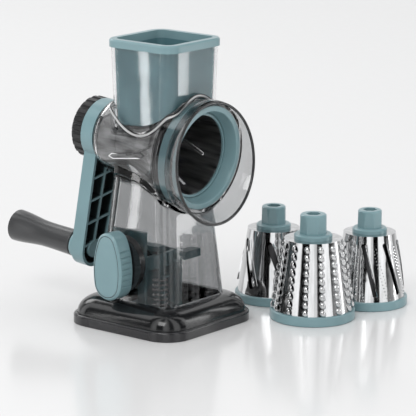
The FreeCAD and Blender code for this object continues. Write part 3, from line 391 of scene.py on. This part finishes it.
@shared_group("Arm channel", (("Rim", "Float", ARM_RIM), ("Floor", "Float", ARM_FLOOR)), MASK)
def channel_group(tree, given):
    """A mask for the painted shade inside the crank arm's channel, in the arm's own frame, fading in below
    the rim.
    """
    place = tree.parts(given["Vector"])
    past_end = tree.math("MAXIMUM", tree.math("SUBTRACT", place["Y"], ARM_REACH), 0.0)
    flat = tree.node("ShaderNodeCombineXYZ", {"X": place["X"], "Y": past_end, "Z": 0.0}).outputs[0]
    out = tree.vector_math("LENGTH", flat, result="Value")
    half = tree.math("MULTIPLY_ADD", tree.math("MINIMUM", place["Y"], ARM_REACH), ARM_TAPER, ARM_HALF)
    level = tree.node("ShaderNodeCombineXYZ", {"X": place["X"], "Y": place["Y"], "Z": 0.0}).outputs[0]
    away = tree.vector_math("LENGTH", level, result="Value")
    ahead = tree.math("GREATER_THAN", place["Y"], 0.0)
    arm = tree.math("MULTIPLY", tree.math("LESS_THAN", out, half), ahead)
    inside = tree.math("MAXIMUM", arm, tree.math("LESS_THAN", away, HEAD_RADIUS))
    shade_fade = tree.ramp(tree.math("SUBTRACT", place["Z"], given["Rim"]), *ARM_FADE)
    above_floor = tree.math("LESS_THAN", place["Z"], given["Floor"])
    return {"Mask": tree.math("MULTIPLY", tree.math("MULTIPLY", inside, shade_fade), above_floor)}


@shared_group("Upper half", (), MASK)
def upper_group(tree, given):
    """A mask for what lies above the frame's middle, where the side rib takes painted shade."""
    return {"Mask": tree.ramp(tree.parts(given["Vector"])["Z"], 0.0, 0.6 * MM)}


@shared_group("Sheet inside", (), MASK)
def sheet_group(tree, given):
    """A mask for the inner face of a drum's sheet, in the drum's own frame, where painted shade darkens the
    steel.
    """
    flat = tree.vector_math("MULTIPLY", given["Vector"], (1.0, 1.0, 0.0))
    out = tree.vector_math("LENGTH", flat, result="Value")
    height = tree.parts(given["Vector"])["Z"]
    skin = tree.math("MULTIPLY_ADD", height, CONE_SLOPE, CONE_LOW - CONE_SLOPE * CONE_FOOT - SHEET_SKIN)
    inside = tree.math("LESS_THAN", out, skin)
    below = tree.math("LESS_THAN", height, CONE_FOOT + CONE_HEIGHT - SHEET_TOP)
    return {"Mask": tree.math("MULTIPLY", inside, below)}


@shared_group("Cup inside", (), MASK)
def cup_group(tree, given):
    """A mask for the painted shade inside the pusher's cup, whose frame stands on the middle of its mouth.
    """
    flat = tree.vector_math("MULTIPLY", given["Vector"], (1.0, 1.0, 0.0))
    size = tree.vector_math("ABSOLUTE", flat)
    height = tree.parts(given["Vector"])["Z"]
    half = tree.math("MULTIPLY_ADD", height, CUP_TAPER, CUP_HALF)
    straight = tree.node("ShaderNodeCombineXYZ", {"X": half, "Y": half, "Z": 0.0}).outputs[0]
    corner = tree.vector_math("MAXIMUM", tree.vector_math("SUBTRACT", size, straight), (0.0, 0.0, 0.0))
    inside = tree.math("LESS_THAN", tree.vector_math("LENGTH", corner, result="Value"), CUP_CORNER)
    return {"Mask": tree.math("MULTIPLY", inside, tree.math("GREATER_THAN", height, -CUP_DEPTH))}


@shared_group("Mouth end", (), MASK)
def mouth_group(tree, given):
    """A mask for the part of the clear chamber that stands round the teal collar."""
    return {"Mask": tree.ramp(tree.parts(given["Vector"])["Z"], *MOUTH_END)}


def new_material(name):
    """An empty material with its output and shader, ready for nodes."""
    material = bpy.data.materials.new(name)
    material.use_nodes = True
    material.node_tree.nodes.clear()
    tree = Tree(material.node_tree)
    shader = tree.node("ShaderNodeBsdfPrincipled")
    output = tree.node("ShaderNodeOutputMaterial")
    tree.put(output.inputs["Surface"], shader.outputs["BSDF"])
    return material, tree, shader


def skinned(tree, shader, group, inputs, depth, strength):
    """Gives a shader a group's colour, gloss and relief."""
    skin = tree.group(group, inputs)
    bump = tree.node("ShaderNodeBump", {"Height": skin["Height"], "Distance": depth, "Strength": strength})
    tree.put(shader.inputs["Base Color"], skin["Colour"])
    tree.put(shader.inputs["Roughness"], skin["Roughness"])
    tree.put(shader.inputs["Normal"], bump.outputs["Normal"])


def moulded(name, tint, roughness, grain=900.0, depth=0.00004, rub=0.08, coat=0.0):
    """Opaque moulded plastic or rubber."""
    if name in bpy.data.materials:
        return bpy.data.materials[name]
    material, tree, shader = new_material(name)
    place = tree.node("ShaderNodeTexCoord")
    skinned(tree, shader, moulded_group(),
            {"Vector": place.outputs["Object"], "Colour": tint, "Grain scale": grain,
             "Roughness": roughness, "Rub": rub}, depth, 0.5)
    shader.inputs["Coat Weight"].default_value = coat
    shader.inputs["Coat Roughness"].default_value = 0.12
    return material


def clear(name, tint, roughness=0.03, weight=1.0):
    """Clear smoky plastic, with faint flow marks in its skin."""
    if name in bpy.data.materials:
        return bpy.data.materials[name]
    material, tree, shader = new_material(name)
    place = tree.node("ShaderNodeTexCoord")
    skinned(tree, shader, moulded_group(),
            {"Vector": place.outputs["Object"], "Colour": tint, "Grain scale": 60.0,
             "Roughness": roughness, "Rub": 0.04}, 0.00005, 0.35)
    shader.inputs["Metallic"].default_value = 0.0
    shader.inputs["Transmission Weight"].default_value = weight
    shader.inputs["IOR"].default_value = 1.46
    return material


def sheet_steel(name, tint, roughness, turn=0.0, streak=0.12, bands=0.13, grain=0.4):
    """Drawn sheet steel, its streaks along Z or along an axis turned about X."""
    if name in bpy.data.materials:
        return bpy.data.materials[name]
    material, tree, shader = new_material(name)
    place = tree.node("ShaderNodeTexCoord")
    turned = tree.node("ShaderNodeMapping", {"Vector": place.outputs["Object"],
                                             "Rotation": (turn, 0.0, 0.0)})
    skinned(tree, shader, brushed_group(),
            {"Vector": turned.outputs["Vector"], "Colour": tint, "Roughness": roughness, "Streak": streak,
             "Bands": bands}, 0.00003, grain)
    shader.inputs["Metallic"].default_value = 1.0
    return material


def own_frame(tree, frame_matrix):
    """Object coordinates seen from another frame."""
    into = frame_matrix.inverted()
    place = tree.node("ShaderNodeTexCoord")
    return tree.node("ShaderNodeMapping", {"Vector": place.outputs["Object"], "Location": into.translation,
                                           "Rotation": into.to_euler(), "Scale": into.to_scale()})


def blend_colour(tree, shader, mask, shade):
    """Turns the shader's colour into another where the mask says so."""
    skin = shader.inputs["Base Color"].links[0].from_socket
    blend = tree.node("ShaderNodeMix", data_type="RGBA")
    sockets = {socket.identifier: socket for socket in (*blend.inputs, *blend.outputs)}
    for key, value in (("Factor_Float", mask), ("A_Color", skin), ("B_Color", shade)):
        tree.put(sockets[key], value)
    tree.put(shader.inputs["Base Color"], sockets["Result_Color"])


def masked(material, group, frame_matrix, shade):
    """A finished material that takes another colour inside a group's mask."""
    if "Masked" in material:
        return material
    material["Masked"] = True
    tree = Tree(material.node_tree)
    shader = next(node for node in material.node_tree.nodes if node.type == "BSDF_PRINCIPLED")
    inside = tree.group(group, {"Vector": own_frame(tree, frame_matrix).outputs["Vector"]})
    blend_colour(tree, shader, inside["Mask"], shade)
    return material


def finishes():
    """Every finish by its slot's name."""
    c = colours()
    # Each loose drum's steel turns to painted shade on the inner face of its sheet.
    drums = {f"{kind}_steel": masked(sheet_steel(f"{kind.title()} drum steel", c.steel, 0.09),
                                     sheet_group(), drum_place(kind), c.shaded_inner_steel)
             for kind in ("coarse", "slicing", "slotted")}
    return drums | {
        "teal": moulded("Teal moulding", c.teal, 0.30, 1100.0, 0.00003, 0.08, 0.15),
        "smoky_clear": clear("Smoky clear plastic", c.smoke),
        "pale_clear": clear("Pale clear plastic", c.pale_smoke),
        # Painted highlight: a pale, half-clear finish for raised lines such as the saddle's bead.
        "bright_edge": clear("Raised clear edge", c.edge, 0.10, 0.45),
        "cabin_clear": masked(clear("Cabin clear plastic", c.cabin_smoke), mouth_group(), AXIS,
                              c.pale_smoke),
        # The side rib: painted highlight below its middle, painted shade above it.
        "rib_clear": masked(clear("Raised clear rib", c.bright, 0.12, 0.1), upper_group(), RIB,
                            c.edge_shade),
        # A dark clear finish standing in as painted shade along thick plastic edges.
        "dark_edge": clear("Thick clear edge", c.edge_shade, 0.06, 0.55),
        # The pusher's cup, darkened inside as painted shade.
        "deep_teal": masked(moulded("Deep teal moulding", c.deep_teal, 0.46, 1100.0, 0.00003, 0.08, 0.15),
                            cup_group(), CUP, c.cup_inside),
        # The crank arm, darkened inside its channel as painted shade.
        "arm_teal": masked(moulded("Arm moulding", c.teal, 0.30, 1100.0, 0.00003, 0.08, 0.15),
                           channel_group(), AXIS @ Matrix.Rotation(CRANK_TURN, 4, "Z"), c.channel),
        "knurled": moulded("Knurled knob moulding", c.disc, 0.34, 1200.0, 0.00005, 0.10),
        "recess": moulded("Shadowed recess", c.black, 0.55, 900.0, 0.00004, 0.10),
        "smoky_base": moulded("Dark glossy plastic", c.dark_smoke, 0.16, 300.0, 0.00001, 0.05, 0.25),
        "black_base": moulded("Black foot plastic", c.black, 0.22, 700.0, 0.00002, 0.08, 0.2),
        "charcoal": moulded("Charcoal moulding", c.charcoal, 0.32, 1400.0, 0.00005, 0.10, 0.2),
        "pad_rubber": moulded("Soft rubber", c.rubber, 0.62, 1600.0, 0.00005, 0.10),
        "drum_steel": sheet_steel("Drum sheet steel", c.steel, 0.09),
        # The drum in the chamber: its colour is darkened as painted shade, and its strong broad bands are
        # painted reflections.
        "seated_steel": sheet_steel("Seated drum steel", c.shaded_seated, 0.30, math.pi / 2 - TILT,
                                    streak=0.04, bands=0.60, grain=0.08),
        # The ramps pressed in beside the slots, in steel darkened as painted shade.
        "dull_steel": sheet_steel("Pressed-in steel", c.shaded_inner_steel, 0.30),
        "screw_steel": sheet_steel("Turned steel", c.steel, 0.28, streak=0.18),
    }


# ------------------------------------------------------------------ pieces


# The solids whose finish isn't the one of their own slot.
SPECIAL = {"fine_cone": "seated_steel", "coarse_cone": "coarse_steel", "slicing_cone": "slicing_steel",
           "slotted_cone": "slotted_steel", "hopper_shell": "pale_clear", "cabin_shell": "cabin_clear",
           "saddle_flange": "cabin_clear", "cabin_cradle": "pale_clear", "side_rib": "rib_clear",
           "lock_knob": "knurled", "crank_arm": "arm_teal", "pusher_cup": "deep_teal"}


class SHREDDER_OT_paint(bpy.types.Operator):
    """Gives every solid of the frame its finish"""
    bl_idname = "shredder.paint"
    bl_label = "Paint the solids"

    def execute(self, context):
        made = finishes()
        slot_of = {entry["node"]: entry["material_slot"] for entry in frame["record"]["subparts"]}
        for name, obj in NODES.items():
            slot = SPECIAL.get(name, slot_of[name])
            if not obj.material_slots:
                obj.data.materials.append(made[slot])
            for entry in obj.material_slots:
                entry.link = "OBJECT"
                entry.material = made[slot]
        return {"FINISHED"}


def tooth():
    """One grating tooth: a hood pressed out of the sheet, open at its top, facing +X."""
    wide, rise = sizes().tooth_width, sizes().tooth_rise
    bpy.ops.mesh.primitive_uv_sphere_add(segments=12, ring_count=8, radius=wide / 2)
    obj = added("Tooth")
    with editing(obj):
        bpy.ops.mesh.select_all(action="SELECT")
        bpy.ops.mesh.bisect(plane_co=(0, 0, 0), plane_no=(1, 0, 0), clear_inner=True)
        bpy.ops.mesh.select_all(action="SELECT")
        bpy.ops.mesh.bisect(plane_co=(0, 0, wide * 0.12), plane_no=(-0.35, 0, 1), clear_outer=True)
        bpy.ops.mesh.select_all(action="SELECT")
        bpy.ops.transform.resize(value=(rise / (wide / 2), 1, 0.85))
    finish_modifier(obj, "SOLIDIFY", thickness=TOOTH_SHEET, offset=-1)
    return obj


class SHREDDER_OT_teeth(bpy.types.Operator):
    """Presses the rows of teeth on the coarse drum"""
    bl_idname = "shredder.teeth"
    bl_label = "Coarse teeth"

    def execute(self, context):
        spots = []
        for column in range(TOOTH_COLUMNS):
            turn = math.radians(360 / TOOTH_COLUMNS * column + TOOTH_TURN_DEG)
            for row in range(TOOTH_ROWS):
                spot = on_drum("coarse", turn, TOOTH_START + TOOTH_PITCH * row, TOOTH_SINK)
                spots.append(spot @ Matrix.Rotation(-CONE_LEAN, 4, "Y")
                             @ Matrix.Rotation(TOOTH_TWIST, 4, "X"))
        teeth = copies_of(tooth(), spots, "coarse_teeth")
        done(teeth, "coarse_drum", finishes()["drum_steel"], 50)
        return {"FINISHED"}


def helper_cone(grow):
    """A plain cone that strips are laid on, and that is taken away after."""
    bpy.ops.mesh.primitive_cone_add(vertices=160, radius1=CONE_LOW + grow, radius2=CONE_HIGH + grow,
                                    depth=CONE_HEIGHT, location=(0, 0, CONE_FOOT + CONE_HEIGHT / 2))
    return added("Cone form")


def edge_strip(run, wide, lean, beside, rise, depth=0.0):
    """A strip laid along a leaning slot at a depth, with its edge beside the slot lifted by the rise."""
    form, middle = helper_cone(-depth), SLOT_LEVEL
    bpy.ops.mesh.primitive_grid_add(x_subdivisions=3, y_subdivisions=18, size=1)
    strip = added("Edge strip")
    grid = [vertex.co.x for vertex in strip.data.vertices]
    laid = (Matrix.Translation((cone_radius(middle) + STRIP_OFF, 0, middle)) @ Matrix.Rotation(lean, 4, "X")
            @ Matrix.Translation((0, beside, 0)) @ Matrix.Rotation(math.pi / 2, 4, "Y")
            @ Matrix.Rotation(math.pi / 2, 4, "Z") @ Matrix.Diagonal((wide, run, 1, 1)))
    settle(strip, laid)
    finish_modifier(strip, "SHRINKWRAP", target=form, wrap_method="NEAREST_SURFACEPOINT",
                    wrap_mode="ABOVE_SURFACE", offset=STRIP_GAP)
    bpy.data.objects.remove(form)
    with editing(strip) as mesh:
        mesh.verts.ensure_lookup_table()
        bpy.ops.mesh.select_all(action="DESELECT")
        for vertex, across in zip(mesh.verts, grid):
            vertex.select = across * beside < -0.49 * abs(beside)
        mesh.select_flush_mode()
        bmesh.update_edit_mesh(strip.data)
        grow = 1 + rise / cone_radius(middle)
        bpy.ops.transform.resize(value=(grow, grow, 1), center_override=(0, 0, middle))
    finish_modifier(strip, "SOLIDIFY", thickness=STRIP_THICK, offset=1)
    return strip


# How many slots, and for each edge: its run in mm, its share of the blade's width, its lean in degrees,
# how far beside the slot it lies in mm, its share of the blade's rise, and where the first one stands.
EDGES = {"slicing": (6, 54, 1.25, 20, 6.0, 1.5, 45),
         "slotted": (8, 60, 0.7, 14, 3.6, 1.0, 35.5),
         "fine": (6, 48, 1.0, 22, 1.9, 1.0, 0)}


class SHREDDER_OT_blades(bpy.types.Operator):
    """Lays the cutting edges along the slots of the slicing and slotted drums"""
    bl_idname = "shredder.blades"
    bl_label = "Cutting edges"

    def execute(self, context):
        width, rise, finish = sizes().blade_width, sizes().blade_rise, finishes()
        for kind, (count, run, wide, lean, beside, lift, start) in EDGES.items():
            turns = [drum_place(kind) @ Matrix.Rotation(math.radians(360 / count * k + start), 4, "Z")
                     for k in range(count)]
            run, lean = run * MM, math.radians(lean)
            strip = edge_strip(run, width * wide, lean, beside * MM, rise * lift)
            # The edges of the drum in the chamber take its steel in painted shade.
            steel = finish["seated_steel" if kind == "fine" else "drum_steel"]
            done(copies_of(strip, turns, f"{kind}_edges"), f"{kind}_drum", steel, 30)
            if kind != "fine":
                # Ramps pressed in beside each slot, darkened as painted shade.
                ramp = edge_strip(run, RAMP_WIDTH, lean, RAMP_BESIDE, 0.0, RAMP_DEPTH)
                done(copies_of(ramp, turns, f"{kind}_ramps"), f"{kind}_drum",
                     finish["dull_steel"], 30)
        return {"FINISHED"}


class SHREDDER_OT_pins(bpy.types.Operator):
    """Raises the fine pins between the slots of the slotted drum"""
    bl_idname = "shredder.pins"
    bl_label = "Fine pins"

    def execute(self, context):
        rise = sizes().pin_rise
        bpy.ops.mesh.primitive_cone_add(vertices=6, radius1=PIN_FOOT, radius2=PIN_TIP,
                                        depth=rise + PIN_ROOT)
        pin = added("Pin")
        with editing(pin):
            bpy.ops.mesh.select_all(action="SELECT")
            bpy.ops.transform.translate(value=(0, 0, rise / 2 - PIN_ROOT / 2))
        spots = []
        for row in range(sizes().pin_rows):
            height = CONE_FOOT + (PIN_START_MM + PIN_PITCH_MM * row) * MM
            drift = (height - SLOT_LEVEL) * PIN_DRIFT
            for patch in range(PIN_PATCHES):
                middle = math.radians(PIN_TURN_DEG + 360 / PIN_PATCHES * patch)
                for back, up in ((PIN_GAP, PIN_STAGGER), (0.0, 0.0)):
                    spot = on_drum("slotted", middle - back - drift, height, PIN_SINK)
                    spots.append(spot @ Matrix.Translation((0, 0, up))
                                 @ Matrix.Rotation(math.pi / 2 - CONE_LEAN, 4, "Y"))
        pins = copies_of(pin, spots, "slotted_pins")
        done(pins, "slotted_drum", finishes()["drum_steel"], 30)
        return {"FINISHED"}


class SHREDDER_OT_bead(bpy.types.Operator):
    """Rolls a round bead along the guard's leaning rim, darkened as painted shade"""
    bl_idname = "shredder.bead"
    bl_label = "Guard bead"

    def execute(self, context):
        bpy.ops.mesh.primitive_torus_add(major_radius=RIM_RADIUS, minor_radius=sizes().bead,
                                         major_segments=160, minor_segments=14)
        ring = added("guard_bead")
        settle(ring, AXIS @ Matrix.Translation(RIM_MIDDLE) @ Matrix.Rotation(RIM_LEAN, 4, "X"))
        done(ring, "guard", finishes()["dark_edge"])
        return {"FINISHED"}


def outline_of(node, name, test, radius):
    """A round tube along those sharp edges of a solid whose ends pass the test."""
    source = NODES[node]
    bpy.ops.object.select_all(action="DESELECT")
    copy = source.copy()
    copy.data = source.data.copy()
    copy.parent = None
    copy.matrix_world = Matrix.Identity(4)
    bpy.context.collection.objects.link(copy)
    with editing(copy):
        bpy.ops.mesh.select_all(action="SELECT")
        bpy.ops.mesh.remove_doubles(threshold=1e-6)
        mesh = bmesh.from_edit_mesh(copy.data)
        keep = [edge for edge in mesh.edges if len(edge.link_faces) == 2
                and edge.calc_face_angle(0.0) > SHARP and all(test(v.co) for v in edge.verts)]
        bpy.ops.mesh.select_all(action="DESELECT")
        bpy.ops.mesh.select_mode(type="EDGE")
        for edge in keep:
            edge.select = True
        bmesh.update_edit_mesh(copy.data)
        bpy.ops.mesh.duplicate()
        bpy.ops.mesh.separate(type="SELECTED")
    line = next(obj for obj in bpy.context.selected_objects if obj is not copy)
    bpy.data.objects.remove(copy)
    select_only(line)
    line.data.materials.clear()
    bpy.ops.object.convert(target="CURVE")
    line = bpy.context.object
    line.data.bevel_depth, line.data.bevel_resolution = radius, 3
    bpy.ops.object.convert(target="MESH")
    line = added(name)
    with editing(line):
        bpy.ops.mesh.select_all(action="SELECT")
        bpy.ops.mesh.remove_doubles(threshold=1e-5)
        bpy.ops.mesh.normals_make_consistent(inside=False)
    return line


class SHREDDER_OT_knob_line(bpy.types.Operator):
    """Draws the fine dark joint round the suction lever's inlaid cap"""
    bl_idname = "shredder.knob_line"
    bl_label = "Lever cap joint"

    def execute(self, context):
        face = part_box("knob_cap")[0].x
        line = outline_of("knob_cap", "knob_joint", lambda p: p.x < face + JOINT_DEPTH, JOINT_RADIUS)
        done(line, "lever", finishes()["recess"])
        return {"FINISHED"}


def round_square(share, half, corner):
    """The point and the way out at a share of the way round a rounded square."""
    straight, arc = 2 * (half - corner), corner * math.pi / 2
    side, way = divmod(share % 1 * 4 * (straight + arc), straight + arc)
    if way < straight:
        out = Vector((1, 0, 0))
        point = Vector((half, way - straight / 2, 0))
    else:
        angle = (way - straight) / corner
        out = Vector((math.cos(angle), math.sin(angle), 0))
        point = Vector((half - corner, half - corner, 0)) + out * corner
    turn = Matrix.Rotation(side * math.pi / 2, 3, "Z")
    return turn @ point, turn @ out


def saddle_point(share):
    """A point of the line where the hopper sits on the chamber, and the way out of the wall there."""
    point, out = round_square(share, SADDLE_HALF, SADDLE_CORNER)
    point.y -= SADDLE_BACK
    rise = SADDLE_LOW + SADDLE_BEND * (point.y + SADDLE_LOWEST) ** 2
    sides = (rise + SADDLE_HIGH - math.hypot(rise - SADDLE_HIGH, SADDLE_BLEND)) / 2
    crest = CREST_FRONT if point.y < 0 else CREST_BACK
    point.z = sides + crest * math.cos(point.x / SADDLE_HALF * math.pi / 2) ** 2
    return point, out


def saddle_line(name, radius, lift=0.0):
    """A round bead along the saddle's line, or a little above or below it."""
    bpy.ops.mesh.primitive_torus_add(major_radius=1.0, minor_radius=radius, major_segments=240,
                                     minor_segments=10)
    line = added(name)
    with editing(line) as mesh:
        for vertex in mesh.verts:
            share = math.atan2(vertex.co.y, vertex.co.x) / math.tau
            across, up = math.hypot(vertex.co.x, vertex.co.y) - 1.0, vertex.co.z
            point, out = saddle_point(share)
            ahead, behind = saddle_point(share + SADDLE_STEP)[0], saddle_point(share - SADDLE_STEP)[0]
            along = (ahead - behind).normalized()
            rise = out.cross(along).normalized()
            vertex.co = point + out * across + rise * (up + lift)
    return line


class SHREDDER_OT_saddle_bead(bpy.types.Operator):
    """Lays a bead pale as a painted highlight between two thin dark lines of painted shade along the saddle
    at the hopper's foot
    """
    bl_idname = "shredder.saddle_bead"
    bl_label = "Saddle bead"

    def execute(self, context):
        finish = finishes()
        done(saddle_line("saddle_bead", SADDLE_BEAD), "cabin", finish["bright_edge"])
        upper = saddle_line("saddle_seams", SHADE_LINE_RADIUS, SHADE_LINE_LIFT)
        lower = saddle_line("saddle_seam_lower", SHADE_LINE_RADIUS, -SHADE_LINE_LIFT)
        select_only(upper, lower)
        bpy.ops.object.join()
        shade_lines = added("saddle_seams")
        done(shade_lines, "cabin", finish["dark_edge"])
        return {"FINISHED"}


def sleeve(name, depths, radii, thick):
    """A thin conical sleeve round the drum's axis, between two depths."""
    (start, end), (first, last) = depths, radii
    bpy.ops.mesh.primitive_cone_add(vertices=128, radius1=first, radius2=last, depth=end - start,
                                    end_fill_type="NOTHING", location=(0, 0, (start + end) / 2))
    made = added(name)
    finish_modifier(made, "SOLIDIFY", thickness=thick, offset=-1.0)
    settle(made, AXIS)
    return made


class SHREDDER_OT_sleeves(bpy.types.Operator):
    """Adds the steel tail of the drum in the chamber and a dark band of painted shade behind the collar"""
    bl_idname = "shredder.sleeves"
    bl_label = "Sleeves in the chamber"

    def execute(self, context):
        finish = finishes()
        tail = sleeve("drum_tail", TAIL_DEPTHS, TAIL_RADII, TAIL_THICK)
        done(tail, "fine_drum", finish["seated_steel"])
        # A thin dark sleeve of painted shade hugging the wall behind the collar.
        shade_band = sleeve("collar_lip", SHADE_BAND_DEPTHS, (SHADE_BAND_RADIUS, SHADE_BAND_RADIUS), SHADE_BAND_THICK)
        done(shade_band, "cabin", finish["pad_rubber"])
        return {"FINISHED"}


# ------------------------------------------------------------------ stage

# The camera's target, its azimuth and elevation in degrees and distance in metres, and, in pixels of a
# square picture, its focal length and where the target stands.
TARGET = Vector((0, 0, 0.13))
VIEW = (-50.0, 12.553, 2.8)
IMAGE, FOCAL, CENTRE = 416, 2777.0, (161.566, 194.632)

# Each lamp's name, place, what it faces, width, height and power.
LAMPS = (
    ("Key", (-2.2, -0.6, 2.2), (0, 0, 0.1), 1.4, 1.4, 30),
    ("Fill", (1.6, -2.2, 1.4), (0.05, 0, 0.1), 1.2, 1.6, 4),
    ("Rim", (0.6, 2.2, 1.8), (0.05, 0, 0.1), 1.6, 1.0, 14),
    ("Left strip", (-0.424, 0.319, 0.15), (-0.041, -0.003, 0.25), 0.010, 0.30, 0.060),
    ("Right strip", (0.353, -0.357, 0.15), (-0.021, -0.043, 0.25), 0.026, 0.30, 0.085),
)
FLOOR_SIZE, FLOOR_DROP, FLOOR_TINT, FLOOR_GLOSS = 24, 0.2 * MM, (0.80, 0.80, 0.80), 0.16


def aim_camera():
    """A long lens whose frame's middle looks past the stand, towards the drums."""
    azimuth, elevation, distance = math.radians(VIEW[0]), math.radians(VIEW[1]), VIEW[2]
    look = Vector((-math.sin(azimuth) * math.cos(elevation), math.cos(azimuth) * math.cos(elevation),
                   -math.sin(elevation)))
    right = look.cross(Vector((0, 0, 1))).normalized()
    up = right.cross(look)
    data = bpy.data.cameras.new("Camera")
    data.sensor_width = 36.0
    data.lens = FOCAL / IMAGE * data.sensor_width
    data.clip_start, data.clip_end = 0.05, 60.0
    camera = bpy.data.objects.new("Camera", data)
    bpy.context.collection.objects.link(camera)
    camera.location = TARGET - look * distance
    data.shift_x = (IMAGE / 2 - CENTRE[0]) / IMAGE
    data.shift_y = -(IMAGE / 2 - CENTRE[1]) / IMAGE
    basis = Matrix((right, up, -look)).transposed()
    camera.rotation_mode = "QUATERNION"
    camera.rotation_quaternion = basis.to_quaternion()
    bpy.context.scene.camera = camera


def soft_light(name, place, towards, wide, high, power):
    """A rectangular lamp that faces a point."""
    data = bpy.data.lights.new(name, "AREA")
    data.shape = "RECTANGLE"
    data.size, data.size_y, data.energy = wide, high, power
    lamp = bpy.data.objects.new(name, data)
    bpy.context.collection.objects.link(lamp)
    lamp.location = place
    lamp.rotation_mode = "QUATERNION"
    lamp.rotation_quaternion = (Vector(place) - Vector(towards)).to_track_quat("Z", "Y")


def pale_room():
    """A pale surround, with darker upright panels that only reflections see."""
    world = bpy.data.worlds.new("Studio")
    world.use_nodes = True
    world.node_tree.nodes.clear()
    tree = Tree(world.node_tree)
    place = tree.node("ShaderNodeTexCoord").outputs["Object"]
    across = tree.parts(place)
    around = tree.math("ARCTAN2", across["Y"], across["X"])
    slow, fast = (tree.math("SINE", tree.math("MULTIPLY_ADD", around, count, shift))
                  for count, shift in ((7.0, 0.4), (17.0, 1.9)))
    panel = tree.ramp(tree.math("MULTIPLY_ADD", fast, 0.45, slow), -0.08, 0.30, 0.0, 1.45)
    behind = tree.vector_math("DOT_PRODUCT", place, (0.766, 0.643, 0.0), result="Value")
    open_side = tree.ramp(behind, 0.45, 0.75)
    strength = tree.node("ShaderNodeMix", {0: open_side, 2: panel, 3: 0.9}).outputs[0]
    plain = tree.node("ShaderNodeBackground", {"Color": (0.87, 0.87, 0.875), "Strength": 1.0})
    panelled = tree.node("ShaderNodeBackground", {"Color": (0.93, 0.935, 0.94), "Strength": strength})
    path = tree.node("ShaderNodeLightPath")
    mix = tree.node("ShaderNodeMixShader", {0: path.outputs["Is Glossy Ray"], 1: plain.outputs[0],
                                            2: panelled.outputs[0]})
    tree.node("ShaderNodeOutputWorld", {"Surface": mix.outputs[0]})
    bpy.context.scene.world = world


class SHREDDER_OT_stage(bpy.types.Operator):
    """Sets the pale floor, the surround, the lights and the camera"""
    bl_idname = "shredder.stage"
    bl_label = "Stage"

    def execute(self, context):
        bpy.ops.object.select_all(action="DESELECT")
        bpy.ops.mesh.primitive_plane_add(size=FLOOR_SIZE, location=(0, 0, 0))
        floor = added("Floor")
        floor.data.transform(Matrix.Translation((0, 0, -FLOOR_DROP)))
        material, tree, shader = new_material("Pale floor")
        place = tree.node("ShaderNodeTexCoord")
        skin = tree.group(moulded_group(), {"Vector": place.outputs["Object"], "Grain scale": 4.0,
                                            "Roughness": FLOOR_GLOSS, "Rub": 0.05})
        tree.put(shader.inputs["Base Color"], FLOOR_TINT)
        tree.put(shader.inputs["Roughness"], skin["Roughness"])
        floor.data.materials.append(material)
        pale_room()
        for lamp in LAMPS:
            soft_light(*lamp)
        bpy.context.scene.view_settings.view_transform = "Standard"
        aim_camera()
        return {"FINISHED"}


class SHREDDER_PT_panel(bpy.types.Panel):
    """Lists the steps and their sizes and colours"""
    bl_label = "Drum shredder"
    bl_idname = "SHREDDER_PT_panel"
    bl_space_type = "VIEW_3D"
    bl_region_type = "UI"
    bl_category = "Shredder"

    def draw(self, context):
        for operator in STEPS:
            self.layout.operator(operator.bl_idname)
        for group in (context.scene.shredder_colours, context.scene.shredder_sizes):
            box = self.layout.box()
            for key in group.__annotations__:
                box.prop(group, key)


STEPS = (SHREDDER_OT_paint, SHREDDER_OT_teeth, SHREDDER_OT_blades, SHREDDER_OT_pins, SHREDDER_OT_bead,
         SHREDDER_OT_knob_line, SHREDDER_OT_saddle_bead, SHREDDER_OT_sleeves, SHREDDER_OT_stage)
CLASSES = (ShredderColours, ShredderSizes, *STEPS, SHREDDER_PT_panel)


def register():
    for cls in CLASSES:
        bpy.utils.register_class(cls)
    bpy.types.Scene.shredder_colours = PointerProperty(type=ShredderColours)
    bpy.types.Scene.shredder_sizes = PointerProperty(type=ShredderSizes)


def unregister():
    del bpy.types.Scene.shredder_sizes
    del bpy.types.Scene.shredder_colours
    for cls in reversed(CLASSES):
        bpy.utils.unregister_class(cls)


def main():
    register()
    for step in STEPS:
        getattr(bpy.ops.shredder, step.bl_idname.split(".")[1])()


if __name__ == "__main__":
    main()
